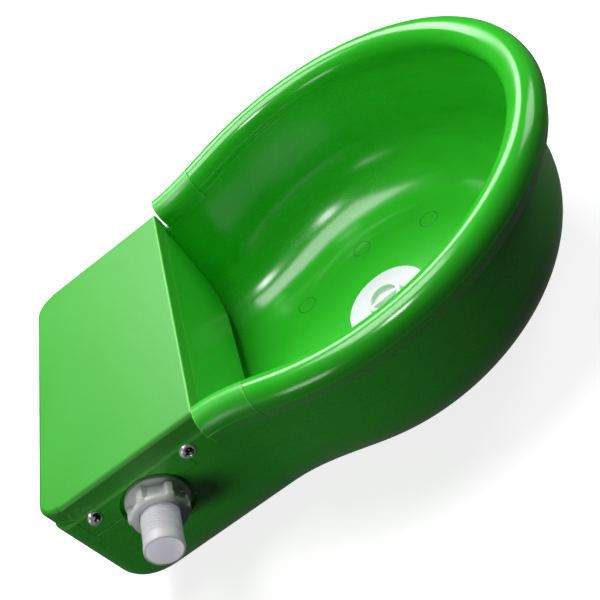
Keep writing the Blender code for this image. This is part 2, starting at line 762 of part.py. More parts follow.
def nozzle_ring(material):
    middle = SUPPLY_END_X + GAP - NOZZLE_SHANK / 2
    clear = GAP / 3
    inner = SUPPLY_RADIUS - GAP - RING_SECTION + clear
    profile = ring_profile(
        inner, SUPPLY_RADIUS - clear, middle - RING_SECTION + clear, middle + RING_SECTION - clear)
    return finish(along_inlet("nozzle_ring", profile), material)


def valve_plunger(material):
    radius = GUIDE_RADIUS - GAP
    pocket = SEAL_RADIUS + GAP
    pocket_end = SEAL_X + SEAL_THICKNESS + GAP
    profile = [
        (0.0, PLUNGER_END_X),
        (radius - 4 * GAP, PLUNGER_END_X),
        (radius, PLUNGER_END_X - 4 * GAP),
        (radius, PLUNGER_X),
        (pocket, PLUNGER_X),
        (pocket, pocket_end),
        (0.0, pocket_end),
    ]
    return finish(along_inlet("valve_plunger", profile, closed=False), material)


def plunger_seal(material):
    end = SEAL_X + SEAL_THICKNESS
    profile = [(0.0, end), (SEAL_RADIUS, end), (SEAL_RADIUS, SEAL_X), (0.0, SEAL_X)]
    return finish(along_inlet("plunger_seal", profile, closed=False), material)


# The lever and the float; the empty on the pivot carries them, x along the float arm

def rest_angle():
    """Leaves the float's low far edge its room above the floor when the tank is empty."""
    reach = sqrt(FLOAT_END ** 2 + (FLOAT_HEIGHT / 2) ** 2)
    drop = PIVOT_Z - FLOOR_TOP - FLOAT_FLOOR_ROOM
    return asin(drop / reach) - asin(FLOAT_HEIGHT / 2 / reach)


REST_ANGLE = rest_angle()


def pivot_frame():
    frame = bpy.data.objects.new("float_swing_axis", None)
    PARTS.objects.link(frame)
    frame.location = (PIVOT_X, INLET_Y, PIVOT_Z)
    frame.rotation_euler = (0, REST_ANGLE, 0)
    return frame


def on_lever(obj, frame):
    obj.parent = frame
    return obj


def lever_pin(material):
    half = EAR_SPACING / 2 + EAR_WALL + GAP
    head = half + PIN_HEAD_LENGTH
    end = half + 5 * CLIP_SECTION
    groove = half + 2 * CLIP_SECTION
    neck = PIN_RADIUS - CLIP_SECTION
    profile = [
        (0.0, head),
        (PIN_HEAD_RADIUS, head),
        (PIN_HEAD_RADIUS, half),
        (PIN_RADIUS, half),
        (PIN_RADIUS, -groove + CLIP_SECTION + GAP),
        (neck, -groove + CLIP_SECTION + GAP),
        (neck, -groove - CLIP_SECTION - GAP),
        (PIN_RADIUS, -groove - CLIP_SECTION - GAP),
        (PIN_RADIUS, -end),
        (0.0, -end),
    ]
    pin = turned("lever_pin", profile, (PIVOT_X, INLET_Y, PIVOT_Z), (0, 1, 0), False, 16)
    return finish(pin, material)


def pin_clip(material):
    """A spring ring, open on one side, in the groove at the pin's end."""
    half = EAR_SPACING / 2 + EAR_WALL + GAP
    y = INLET_Y - half - 2 * CLIP_SECTION
    radius = PIN_RADIUS + CLIP_SECTION / 2 + GAP / 2
    curve = bpy.data.curves.new("pin_clip", 'CURVE')
    curve.dimensions = '3D'
    curve.bevel_depth = CLIP_SECTION - GAP / 3
    curve.bevel_resolution = 1
    curve.use_fill_caps = True
    spline = curve.splines.new('POLY')
    steps = 16
    spline.points.add(steps)
    for i in range(steps + 1):
        angle = radians(30 + 300 * i / steps)
        spline.points[i].co = (radius * cos(angle), 0, radius * sin(angle), 1)
    clip = new_object("pin_clip", curve)
    clip.location = (PIVOT_X, y, PIVOT_Z)
    weld = clip.modifiers.new("join caps", 'WELD')
    weld.merge_threshold = 0.00001
    curve.materials.append(material)
    return clip


SCREW_TIP_X = PLUNGER_END_X + GAP - PIVOT_X


def upright(shift=(0, 0, 0)):
    """Turns the lever's frame back, so that the short arm stands upright at rest."""
    return Matrix.Rotation(-REST_ANGLE, 4, 'Y') @ Matrix.Translation(shift)


def float_lever(material, frame):
    boss_half = EAR_SPACING / 2 - GAP
    lever = cylinder("float_lever", LEVER_BOSS_RADIUS, (0, -boss_half, 0), (0, boss_half, 0), sides=20)
    arm_half = LEVER_ARM_WIDTH / 2
    arm = box("lever_arm", (-LEVER_ARM_WALL / 2, -arm_half, 0), (LEVER_ARM_WALL / 2, arm_half, LEVER_ARM_TOP))
    arm.data.transform(upright())
    add(lever, arm)
    nose_top = INLET_HEIGHT - VALVE_BODY_RADIUS - 2 * GAP - PIVOT_Z
    nose = box(
        "stop_nose", (-STOP_LENGTH, -arm_half, nose_top - STOP_WALL), (0, arm_half, nose_top))
    nose.data.transform(upright())
    add(lever, nose)
    add(lever, cylinder("arm_socket", SOCKET_RADIUS, (0, 0, 0), (SOCKET_LENGTH, 0, 0), sides=20))
    cut(lever, cylinder(
        "socket_bore", ARM_RADIUS + GAP, (LEVER_BOSS_RADIUS + WALL, 0, 0),
        (2 * SOCKET_LENGTH, 0, 0), sides=16))
    cut(lever, cylinder(
        "pin_bore", PIN_RADIUS + PIN_CLEARANCE, (0, -EAR_SPACING, 0), (0, EAR_SPACING, 0), sides=16))
    screw_bore = cylinder(
        "level_bore", LEVEL_SCREW_RADIUS + GAP, (-STOP_LENGTH, 0, PIVOT_DROP),
        (STOP_LENGTH, 0, PIVOT_DROP), sides=16)
    screw_bore.data.transform(upright())
    cut(lever, screw_bore)
    for guide in (arm, nose, screw_bore, *[m.object for m in lever.modifiers]):
        guide.parent = frame
    return finish(on_lever(lever, frame), material)


def level_screw(material, frame):
    """Bears on the plunger with a domed tip; its head is on the float's side."""
    nut_end = LEVER_ARM_WALL / 2 + 2 * GAP + LEVEL_NUT_HEIGHT
    head = nut_end + 3 * LEVEL_SCREW_RADIUS
    dome = [(0.0, SCREW_TIP_X)]
    for i in range(1, 4):
        angle = pi / 2 * i / 3
        dome.append((LEVEL_SCREW_RADIUS * sin(angle), SCREW_TIP_X + LEVEL_SCREW_RADIUS * (1 - cos(angle))))
    profile = [
        (0.0, head + LEVEL_SCREW_RADIUS),
        (LEVEL_SCREW_HEAD, head + LEVEL_SCREW_RADIUS),
        (LEVEL_SCREW_HEAD, head),
        (LEVEL_SCREW_RADIUS, head),
    ]
    screw = turned("level_screw", profile + dome[::-1], closed=False, steps=16)
    screw.matrix_world = upright((0, 0, PIVOT_DROP)) @ turn_to((1, 0, 0))
    return finish(on_lever(screw, frame), material)


def hexagon_nut(name, across, height, bore, place):
    nut = cylinder(name, across / sqrt(3), (0, 0, 0), (height, 0, 0), sides=6)
    hole = cylinder(f"{name}_bore", bore, (-height, 0, 0), (2 * height, 0, 0), sides=16)
    nut.data.transform(place)
    hole.data.transform(place)
    return nut, hole


def level_lock_nut(material, frame):
    place = upright((LEVER_ARM_WALL / 2 + GAP, 0, PIVOT_DROP))
    nut, hole = hexagon_nut(
        "level_lock_nut", LEVEL_NUT_ACROSS, LEVEL_NUT_HEIGHT, LEVEL_SCREW_RADIUS + GAP, place)
    cut(nut, hole)
    on_lever(hole, frame)
    return finish(on_lever(nut, frame), material)


ARM_START = LEVER_BOSS_RADIUS + WALL + GAP
ARM_END = FLOAT_START + ARM_GRIP


def float_arm(material, frame):
    arm = cylinder("float_arm", ARM_RADIUS, (ARM_START, 0, 0), (ARM_END, 0, 0), sides=12)
    return finish(on_lever(arm, frame), material)


def arm_nut(name, start, material, frame):
    nut, hole = hexagon_nut(
        name, ARM_NUT_ACROSS, ARM_NUT_HEIGHT, ARM_RADIUS + GAP, Matrix.Translation((start, 0, 0)))
    cut(nut, hole)
    on_lever(hole, frame)
    return finish(on_lever(nut, frame), material)


def float_body(material, frame):
    low = (FLOAT_START, -FLOAT_WIDTH / 2, -FLOAT_HEIGHT / 2)
    high = (FLOAT_END, FLOAT_WIDTH / 2, FLOAT_HEIGHT / 2)
    body = box("float", low, high)
    bevel = body.modifiers.new("rounded edges", 'BEVEL')
    bevel.width = FLOAT_EDGE_ROUND
    bevel.segments = 3
    boss = cylinder(
        "float_boss", SOCKET_RADIUS, (FLOAT_START - FLOAT_BOSS, 0, 0), (FLOAT_CENTRE, 0, 0), sides=16)
    add(body, boss)
    bore = cylinder(
        "float_bore", ARM_RADIUS + GAP, (FLOAT_START - 2 * FLOAT_BOSS, 0, 0), (ARM_END + GAP, 0, 0),
        sides=16)
    cut(body, bore)
    on_lever(boss, frame)
    on_lever(bore, frame)
    return finish(on_lever(body, frame), material)


# The drain

FLANGE_BOTTOM = FLOOR_TOP + GAP
FLANGE_TOP = FLANGE_BOTTOM + DRAIN_FLANGE_WALL
BARREL_BOTTOM = DRAIN_FOOT_CLEARANCE
PLUG_TOP = FLANGE_TOP + PLUG_STAND
PLUG_BORE = PLUG_RADIUS + PLUG_CLEARANCE
GASKET_OUTER = DRAIN_FLANGE_RADIUS - DRAIN_GASKET_INSET
GASKET_INNER = GASKET_OUTER - DRAIN_GASKET_WALL


def on_drain(name, profile, closed=True, steps=32):
    return turned(name, profile, (0, DRAIN_Y, 0), (0, 0, 1), closed, steps)


def drain_seat(material):
    ledge = BARREL_BOTTOM + PLUG_LEDGE
    groove = FLANGE_BOTTOM + DRAIN_GROOVE_DEPTH
    edge = DRAIN_FLANGE_WALL / 2
    profile = [
        (PLUG_BORE, FLANGE_TOP),
        (DRAIN_FLANGE_RADIUS - edge, FLANGE_TOP),
        (DRAIN_FLANGE_RADIUS, FLANGE_TOP - edge),
        (DRAIN_FLANGE_RADIUS, FLANGE_BOTTOM),
        (GASKET_OUTER + GAP, FLANGE_BOTTOM),
        (GASKET_OUTER + GAP, groove),
        (GASKET_INNER - GAP, groove),
        (GASKET_INNER - GAP, FLANGE_BOTTOM),
        (DRAIN_BARREL_RADIUS, FLANGE_BOTTOM),
        (DRAIN_BARREL_RADIUS, BARREL_BOTTOM),
        (PLUG_BORE - PLUG_LEDGE, BARREL_BOTTOM),
        (PLUG_BORE - PLUG_LEDGE, ledge),
        (PLUG_BORE, ledge),
    ]
    return finish(on_drain("drain_seat", profile), material)


def drain_gasket(material):
    top = FLANGE_BOTTOM + DRAIN_GROOVE_DEPTH - GAP
    bottom = FLOOR_TOP + GAP
    profile = [(GASKET_INNER, top), (GASKET_OUTER, top), (GASKET_OUTER, bottom), (GASKET_INNER, bottom)]
    return finish(on_drain("drain_gasket", profile), material)


def drain_lock_nut(material):
    top = FOOT_HEIGHT - GAP
    bottom = top - DRAIN_NUT_HEIGHT
    nut = cylinder(
        "drain_lock_nut", DRAIN_NUT_RADIUS, (0, DRAIN_Y, bottom), (0, DRAIN_Y, top), sides=8)
    hole = cylinder(
        "drain_nut_bore", DRAIN_BARREL_RADIUS + GAP, (0, DRAIN_Y, bottom - WALL),
        (0, DRAIN_Y, top + WALL), sides=32)
    cut(nut, hole)
    return finish(nut, material)


SEAL_Z = (FLOOR_TOP + BARREL_BOTTOM) / 2


def drain_plug(material):
    """A stopper with two half-moon pockets; the bar between them is its grip."""
    ledge = BARREL_BOTTOM + PLUG_LEDGE + GAP
    groove = PLUG_RADIUS - 2 * RING_SECTION
    profile = [
        (0.0, PLUG_TOP),
        (PLUG_RADIUS - GAP, PLUG_TOP),
        (PLUG_RADIUS, PLUG_TOP - GAP),
        (PLUG_RADIUS, SEAL_Z + RING_SECTION),
        (groove, SEAL_Z + RING_SECTION),
        (groove, SEAL_Z - RING_SECTION),
        (PLUG_RADIUS, SEAL_Z - RING_SECTION),
        (PLUG_RADIUS, ledge),
        (0.0, ledge),
    ]
    plug = on_drain("drain_plug", profile, closed=False)
    inner = PLUG_RADIUS - PLUG_WALL
    floor = PLUG_TOP - PLUG_POCKET_DEPTH
    for side_sign in (-1, 1):
        cut(plug, half_moon(side_sign, inner, floor))
    return finish(plug, material)


def half_moon(side_sign, radius, floor):
    """The pocket on one side of the grip bar."""
    start = asin(PLUG_BAR / 2 / radius)
    shape = bmesh.new()
    loop = []
    steps = 10
    for i in range(steps + 1):
        angle = start + (pi - 2 * start) * i / steps
        loop.append(shape.verts.new((radius * cos(angle), DRAIN_Y + side_sign * radius * sin(angle), floor)))
    face = shape.faces.new(loop)
    result = bmesh.ops.extrude_face_region(shape, geom=[face])
    moved = [item for item in result["geom"] if isinstance(item, bmesh.types.BMVert)]
    bmesh.ops.translate(shape, verts=moved, vec=(0, 0, 2 * PLUG_POCKET_DEPTH))
    return mesh_object(f"half_moon_{'front' if side_sign < 0 else 'back'}", shape)


def plug_seal(material):
    clear = GAP / 3
    inner = PLUG_RADIUS - 2 * RING_SECTION + clear
    outer = PLUG_BORE - clear
    profile = ring_profile(inner, outer, SEAL_Z - RING_SECTION + clear, SEAL_Z + RING_SECTION - clear)
    return finish(on_drain("plug_seal", profile), material)


def build():
    green = make_material("green_plastic", (0.05, 0.50, 0.06), 0.38)
    white = make_material("white_plastic", (0.80, 0.80, 0.84), 0.42)
    steel = make_material("plated_steel", (0.62, 0.62, 0.66), 0.28, 1.0)
    brass = make_material("brass", (0.72, 0.53, 0.26), 0.32, 1.0)
    rubber = make_material("black_rubber", (0.03, 0.03, 0.03), 0.75)
    ivory = make_material("float_plastic", (0.78, 0.76, 0.70), 0.50)

    bowl_shell(green)
    valve_cover(green)
    for name, (side_sign, y) in zip(SCREW_NAMES, screw_places()):
        cover_screw(name, side_sign, y, steel)
    valve_body(white)
    inlet_gasket(rubber)
    inlet_lock_nut(white)
    valve_nozzle(brass)
    nozzle_ring(rubber)
    valve_plunger(white)
    plunger_seal(rubber)
    lever_pin(steel)
    pin_clip(steel)

    frame = pivot_frame()
    float_lever(white, frame)
    level_screw(brass, frame)
    level_lock_nut(brass, frame)
    float_arm(brass, frame)
    arm_nut("lever_arm_nut", SOCKET_LENGTH + GAP, brass, frame)
    arm_nut("float_arm_nut", FLOAT_START - FLOAT_BOSS - ARM_NUT_HEIGHT - GAP, brass, frame)
    float_body(ivory, frame)

    drain_seat(white)
    drain_gasket(rubber)
    drain_lock_nut(white)
    drain_plug(white)
    plug_seal(rubber)


build()
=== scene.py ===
import json
from math import asin, cos, pi, radians, sin, sqrt

import bmesh
import bpy
from mathutils import Matrix, Vector

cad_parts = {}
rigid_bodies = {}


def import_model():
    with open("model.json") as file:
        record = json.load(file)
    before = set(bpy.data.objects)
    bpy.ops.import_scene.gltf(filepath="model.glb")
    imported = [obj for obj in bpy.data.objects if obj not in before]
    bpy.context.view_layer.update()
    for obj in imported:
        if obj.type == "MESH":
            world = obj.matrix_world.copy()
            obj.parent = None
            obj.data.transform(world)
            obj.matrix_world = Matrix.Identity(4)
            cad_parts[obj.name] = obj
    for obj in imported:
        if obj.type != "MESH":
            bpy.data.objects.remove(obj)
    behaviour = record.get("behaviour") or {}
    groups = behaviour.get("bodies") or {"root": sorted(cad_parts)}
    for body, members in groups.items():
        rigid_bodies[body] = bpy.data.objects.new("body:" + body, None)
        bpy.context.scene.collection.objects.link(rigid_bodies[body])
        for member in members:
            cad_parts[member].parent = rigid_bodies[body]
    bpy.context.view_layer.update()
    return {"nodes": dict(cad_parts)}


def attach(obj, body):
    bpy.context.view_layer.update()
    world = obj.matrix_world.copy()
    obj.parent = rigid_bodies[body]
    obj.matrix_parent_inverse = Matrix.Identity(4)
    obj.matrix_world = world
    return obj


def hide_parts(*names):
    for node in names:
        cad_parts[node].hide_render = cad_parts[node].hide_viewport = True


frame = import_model()
cadNodes = frame["nodes"]
print("frame loaded:", len(cadNodes), "nodes")


def linked(obj):
    bpy.context.scene.collection.objects.link(obj)
    return obj


def closedMesh(name, shape):
    bmesh.ops.recalc_face_normals(shape, faces=shape.faces)
    mesh = bpy.data.meshes.new(name)
    shape.to_mesh(mesh)
    shape.free()
    return linked(bpy.data.objects.new(name, mesh))


def skin(shape, rows, around=True):
    # faces between rows of corners, each row closed or open
    count = len(rows[0])
    for low, high in zip(rows[:-1], rows[1:]):
        for i in range(count if around else count - 1):
            j = (i + 1) % count
            shape.faces.new((low[i], low[j], high[j], high[i]))


def skinRings(name, rings, joined=False):
    shape = bmesh.new()
    rows = [[shape.verts.new(point) for point in ring] for ring in rings]
    skin(shape, rows + rows[:1] if joined else rows)
    if not joined:
        shape.faces.new(rows[0])
        shape.faces.new(rows[-1])
    return closedMesh(name, shape)


def arc(centre, radius, start, end, steps):
    angles = [start + (end - start) * i / steps for i in range(steps + 1)]
    return [Vector((centre[0] + radius * cos(a), centre[1] + radius * sin(a))) for a in angles]


def mirrored(half):
    # the same points on the other side, in the other order
    return [Vector((-p.x, p.y)) for p in reversed(half)]


def turnTo(axis):
    return Vector((0, 0, 1)).rotation_difference(Vector(axis)).to_matrix().to_4x4()


def lathe(name, profile, place, axis, steps, closed=True):
    # profile of (radius, height); radius 0 points become poles
    shape = bmesh.new()
    move = Matrix.Translation(place) @ turnTo(axis)
    loops = []
    for radius, height in profile:
        if radius < 1e-7:
            loops.append([shape.verts.new(move @ Vector((0, 0, height)))])
        else:
            turns = [2 * pi * i / steps for i in range(steps)]
            ring = [Vector((radius * cos(turn), radius * sin(turn), height)) for turn in turns]
            loops.append([shape.verts.new(move @ point) for point in ring])
    pairs = list(zip(loops[:-1], loops[1:]))
    if closed:
        pairs.append((loops[-1], loops[0]))
    for a, b in pairs:
        for i in range(steps):
            j = (i + 1) % steps
            corners = [a[i % len(a)], a[j % len(a)], b[j % len(b)], b[i % len(b)]]
            kept = list(dict.fromkeys(corners))
            if len(kept) > 2:
                shape.faces.new(kept)
    return closedMesh(name, shape)


def rounded(profile, radius, steps=4, keep=()):
    # rounds the corners of a closed profile, apart from those in keep
    made = []
    count = len(profile)
    for i, corner in enumerate(profile):
        here = Vector(corner)
        before = Vector(profile[i - 1])
        after = Vector(profile[(i + 1) % count])
        reach = min(radius, (before - here).length * 0.45, (after - here).length * 0.45)
        if i in keep or reach < 1e-6:
            made.append(tuple(here))
            continue
        start = here + (before - here).normalized() * reach
        end = here + (after - here).normalized() * reach
        for k in range(steps + 1):
            t = k / steps
            point = start * (1 - t) ** 2 + here * 2 * t * (1 - t) + end * t * t
            made.append(tuple(point))
    return made


def plainMesh(obj):
    # what the modifiers make, as the object's own mesh
    graph = bpy.context.evaluated_depsgraph_get()
    mesh = bpy.data.meshes.new_from_object(
        obj.evaluated_get(graph), preserve_all_data_layers=True, depsgraph=graph)
    obj.modifiers.clear()
    old = obj.data
    obj.data = mesh
    bpy.data.meshes.remove(old)
    return obj


def carve(obj, other, operation):
    mod = obj.modifiers.new(operation.lower(), "BOOLEAN")
    mod.object = other
    mod.operation = operation
    mod.solver = "EXACT"
    plainMesh(obj)
    bpy.data.objects.remove(other)
    return obj


def smooth(obj, angle=32):
    obj.data.shade_smooth()
    obj.data.set_sharp_from_angle(angle=radians(angle))
    normals = obj.modifiers.new("faceNormals", "WEIGHTED_NORMAL")
    normals.keep_sharp = True
    normals.weight = 60
    plainMesh(obj)
    return obj


def dress(obj, material, body, slotName, *nodes):
    obj.data.materials.clear()
    obj.data.materials.append(material)
    if nodes:
        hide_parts(*nodes)
    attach(obj, body)
    return obj


def block(shape, low, high):
    size = [high[i] - low[i] for i in range(3)]
    middle = [(high[i] + low[i]) / 2 for i in range(3)]
    matrix = Matrix.Translation(middle) @ Matrix.Diagonal((*size, 1))
    bmesh.ops.create_cube(shape, size=1.0, matrix=matrix)


def rod(shape, radius, start, end, sides=48):
    start, end = Vector(start), Vector(end)
    place = Matrix.Translation((start + end) / 2) @ turnTo((end - start).normalized())
    bmesh.ops.create_cone(
        shape, cap_ends=True, segments=sides, radius1=radius, radius2=radius,
        depth=(end - start).length, matrix=place)


class Signal:
    # what one output socket gives, so that sums of nodes can be written with plain signs
    def __init__(self, socket):
        self.socket = socket
        self.tree = socket.id_data

    def __add__(self, other):
        return calculate("ADD", self, other)

    def __radd__(self, other):
        return calculate("ADD", other, self)

    def __sub__(self, other):
        return calculate("SUBTRACT", self, other)

    def __rsub__(self, other):
        return calculate("SUBTRACT", other, self)

    def __mul__(self, other):
        return calculate("MULTIPLY", self, other)

    def __rmul__(self, other):
        return calculate("MULTIPLY", other, self)

    def __truediv__(self, other):
        return calculate("DIVIDE", self, other)

    def __gt__(self, other):
        return calculate("GREATER_THAN", self, other)

    def __lt__(self, other):
        return calculate("LESS_THAN", self, other)

    def __or__(self, other):
        # the greater of the two, which joins masks
        return calculate("MAXIMUM", self, other)

    def __abs__(self):
        return calculate("ABSOLUTE", self)


class Outputs:
    # the outputs of a node as signals, by name or number
    def __init__(self, made):
        self.node = made

    def __getitem__(self, key):
        return Signal(self.node.outputs[key])


def feed(socket, value):
    if isinstance(value, Signal):
        value.tree.links.new(value.socket, socket)
    elif value is not None:
        socket.default_value = value


def setInputs(made, values):
    pairs = values.items() if isinstance(values, dict) else enumerate(values)
    for key, value in pairs:
        feed(made.inputs[key], value)


def node(tree, kind, values=(), **settings):
    made = tree.nodes.new(kind)
    for name, value in settings.items():
        setattr(made, name, value)
    setInputs(made, values)
    return Outputs(made)


def calculate(operation, *values):
    tree = next(value.tree for value in values if isinstance(value, Signal))
    return node(tree, "ShaderNodeMath", values, operation=operation)[0]


def clamped(signal):
    signal.socket.node.use_clamp = True
    return signal


def vectorSum(operation, a, b=None):
    made = node(a.tree, "ShaderNodeVectorMath", (a, b), operation=operation)
    return made["Value" if operation == "LENGTH" else "Vector"]


def parts(vector):
    return node(vector.tree, "ShaderNodeSeparateXYZ", (vector,))


def vectorOf(*values):
    tree = next(value.tree for value in values if isinstance(value, Signal))
    return node(tree, "ShaderNodeCombineXYZ", values)[0]


def ramp(value, low, high, toLow=0.0, toHigh=1.0):
    given = (value, low, high, toLow, toHigh)
    return node(value.tree, "ShaderNodeMapRange", given, interpolation_type="SMOOTHSTEP")[0]


def lineAt(value, middle, near, far):
    # 1 where the value is the middle one, and 0 from so far beside it
    return ramp(abs(value - middle), near, far, 1.0, 0.0)


def tinted(colour, amount, tint):
    # the colour with some of the tint mixed in
    pair = [c if isinstance(c, Signal) else (*c, 1) for c in (colour, tint)]
    return node(amount.tree, "ShaderNodeMix", {0: amount, 6: pair[0], 7: pair[1]}, data_type="RGBA")[2]


def noise(place, scale, detail=3.0, rough=0.5):
    given = {"Vector": place, "Scale": scale, "Detail": detail, "Roughness": rough}
    return node(place.tree, "ShaderNodeTexNoise", given)[0]


def aboutAxis(place, y, z):
    # for a line along X: the place along it, both offsets from it and the distance
    along, up, high = parts(place)
    dy, dz = up - y, high - z
    return along, dy, dz, calculate("SQRT", dy * dy + dz * dz)


socketKinds = {
    "v": "NodeSocketVector", "f": "NodeSocketFloat", "g": "NodeSocketGeometry", "o": "NodeSocketObject",
    "m": "NodeSocketMaterial",
}


def newGroup(name, inputs, outputs, kind="ShaderNodeTree"):
    tree = bpy.data.node_groups.new(name, kind)
    for label, letter, value in inputs:
        socket = tree.interface.new_socket(label, in_out="INPUT", socket_type=socketKinds[letter])
        if value is not None:
            socket.default_value = value
    for label, letter in outputs:
        tree.interface.new_socket(label, in_out="OUTPUT", socket_type=socketKinds[letter])
    return tree, node(tree, "NodeGroupInput"), tree.nodes.new("NodeGroupOutput").inputs


def useGroup(group, **values):
    # labels are given without their spaces
    tree = next(value.tree for value in values.values() if isinstance(value, Signal))
    made = node(tree, "ShaderNodeGroup", node_tree=group)
    for socket in made.node.inputs:
        feed(socket, values.get(socket.name.replace(" ", "")))
    return made


def makeMouldGrain():
    # fine grain, slow cloudiness and rare specks of moulded plastic
    tree, given, out = newGroup(
        "mouldGrain",
        [("Place", "v", None), ("Grain", "f", 900.0), ("Cloud", "f", 18.0), ("Specks", "f", 260.0)],
        [("Cloudiness", "f"), ("Speck", "f"), ("Height", "f")])
    cells = node(tree, "ShaderNodeTexVoronoi", {"Vector": given["Place"], "Scale": given["Specks"]})
    cellValue = node(tree, "ShaderNodeSeparateColor", (cells["Color"],))[0]
    dot = ramp(cells["Distance"], 0.05, 0.17, 1.0, 0.0)
    feed(out["Cloudiness"], noise(given["Place"], given["Cloud"], 3.0))
    feed(out["Speck"], ramp(cellValue, 0.955, 0.965) * dot)
    feed(out["Height"], noise(given["Place"], given["Grain"], 2.0))
    return tree


def makeScratches():
    # two families of long thin scratches that cross each other
    tree, given, out = newGroup(
        "scratches", [("Place", "v", None), ("Fineness", "f", 260.0), ("Share", "f", 0.3)], [("Mask", "f")])
    masks = []
    for turn, seed in (((0.3, 0.2, 0.6), 0.0), ((0.9, -0.3, -0.5), 4.7)):
        spun = node(
            tree, "ShaderNodeVectorRotate", {"Vector": given["Place"], "Rotation": turn},
            rotation_type="EULER_XYZ")[0]
        stretched = vectorSum("MULTIPLY", spun, (0.022, 1.0, 1.0))
        lines = noise(vectorSum("ADD", stretched, (seed, seed, seed)), given["Fineness"], 1.0)
        edge = 0.80 - given["Share"] * 0.30
        masks.append(ramp(lines, edge, edge + 0.05))
    feed(out["Mask"], masks[0] | masks[1])
    return tree


def makeEdgeWear():
    # worn and lighter along convex edges, broken up by a noise
    tree, given, out = newGroup(
        "edgeWear", [("Place", "v", None), ("Breakup", "f", 320.0), ("Start", "f", 0.53)], [("Mask", "f")])
    pointed = node(tree, "ShaderNodeNewGeometry")["Pointiness"]
    edge = ramp(pointed, given["Start"], given["Start"] + 0.08)
    feed(out["Mask"], edge * ramp(noise(given["Place"], given["Breakup"], 2.0), 0.42, 0.62))
    return tree


def makeRoundMark():
    # a thin round witness line, such as an ejector pin leaves on a floor
    tree, given, out = newGroup(
        "roundMark",
        [("Place", "v", None), ("Centre", "v", None), ("Radius", "f", 0.006), ("Width", "f", 0.0003)],
        [("Ring", "f")])
    away = vectorSum("SUBTRACT", given["Place"], given["Centre"])
    flat = vectorSum("MULTIPLY", away, (1, 1, 0))
    level = vectorSum("LENGTH", vectorSum("MULTIPLY", away, (0, 0, 1))) < 0.002
    feed(out["Ring"], lineAt(vectorSum("LENGTH", flat), given["Radius"], 0.0, given["Width"]) * level)
    return tree


def makeFrameMark():
    # the thin outline of a mould insert: a rectangle in two of the three coordinates
    tree, given, out = newGroup(
        "frameMark",
        [("Across", "f", 0.0), ("Up", "f", 0.0), ("Middle Across", "f", 0.0), ("Middle Up", "f", 0.0),
         ("Half Across", "f", 0.01), ("Half Up", "f", 0.01), ("Width", "f", 0.0003)],
        [("Line", "f")])
    across = abs(given["Across"] - given["Middle Across"]) - given["Half Across"]
    up = abs(given["Up"] - given["Middle Up"]) - given["Half Up"]
    feed(out["Line"], ramp(abs(across | up), 0.0, given["Width"], 1.0, 0.0))
    return tree


mouldGrain = makeMouldGrain()
scratches = makeScratches()
edgeWear = makeEdgeWear()
roundMark = makeRoundMark()
frameMark = makeFrameMark()


def newMaterial(name, roughness, metallic=0.0, ior=1.5):
    material = bpy.data.materials.new(name)
    material.use_nodes = True
    shader = material.node_tree.nodes["Principled BSDF"]
    setInputs(shader, {"Metallic": metallic, "Roughness": roughness, "IOR": ior})
    return material, shader, node(material.node_tree, "ShaderNodeTexCoord")["Object"]


def finishShader(shader, colour, rough, height, strength, distance):
    values = {"Height": height, "Strength": strength, "Distance": distance}
    bump = node(height.tree, "ShaderNodeBump", values)[0]
    setInputs(shader, {"Base Color": colour, "Roughness": clamped(rough), "Normal": bump})


# places that the pieces and their colours share
shared = {"bowlY": -0.031675, "rimEndY": 0.0657}
inlet = {
    "y": 0.118425, "z": 0.0692, "recessX": -0.0966, "recessRadius": 0.02, "padX": -0.0924,
    "padRadius": 0.0215, "hole": 0.01088, "pitch": 0.001814,
}
coverScrew = {"z": 0.0859, "ys": (0.084925, 0.147525), "hole": 0.0023, "lugHole": 0.0022, "seatX": 0.09975}

greenPaint = {
    "base": (0.036, 0.550, 0.025), "fresh": (0.038, 0.590, 0.026), "deep": (0.018, 0.450, 0.013),
    "pale": (0.120, 0.620, 0.110), "speck": (0.20, 0.62, 0.17), "worn": (0.14, 0.62, 0.11),
    "dirt": (0.006, 0.11, 0.006), "flash": (0.20, 0.85, 0.12), "rub": (0.005, 0.06, 0.005),
    "roughness": 0.17, "wallRadius": 0.1225,
    "ejectors": ((0.0499, 0.0244, 0.0082), (0.0647, -0.0249, 0.0082), (0.0472, -0.0720, 0.0082)),
    "ejectorRadius": 0.0062, "ejectorWidth": 0.00050, "sideX": 0.0915, "splitY": 0.0352, "rimLowZ": 0.0885,
    "rippleFrom": (0.055, 0.068), "rippleTo": (0.076, 0.086), "ripplePitch": 0.0105,
}
coreMark = {
    "MiddleAcross": 0.1222, "MiddleUp": 0.0900, "HalfAcross": 0.0345, "HalfUp": 0.0157, "Width": 0.0004,
}
portMark = {
    "MiddleAcross": 0.1184, "MiddleUp": 0.0640, "HalfAcross": 0.0184, "HalfUp": 0.0151, "Width": 0.0004,
}
lidPaint = {
    "base": (0.050, 0.445, 0.029), "fresh": (0.050, 0.470, 0.036), "speck": (0.22, 0.66, 0.19),
    "darkSpeck": (0.012, 0.22, 0.010), "pale": (0.15, 0.60, 0.12), "worn": (0.20, 0.68, 0.16),
    "flash": (0.22, 0.85, 0.15), "roughness": 0.44, "lowZ": 0.0942, "frontY": 0.0690, "splitZ": 0.0945,
    "brimZ": 0.0915, "brimX": 0.0975, "lipZ": 0.1033, "lipY": 0.0688,
}


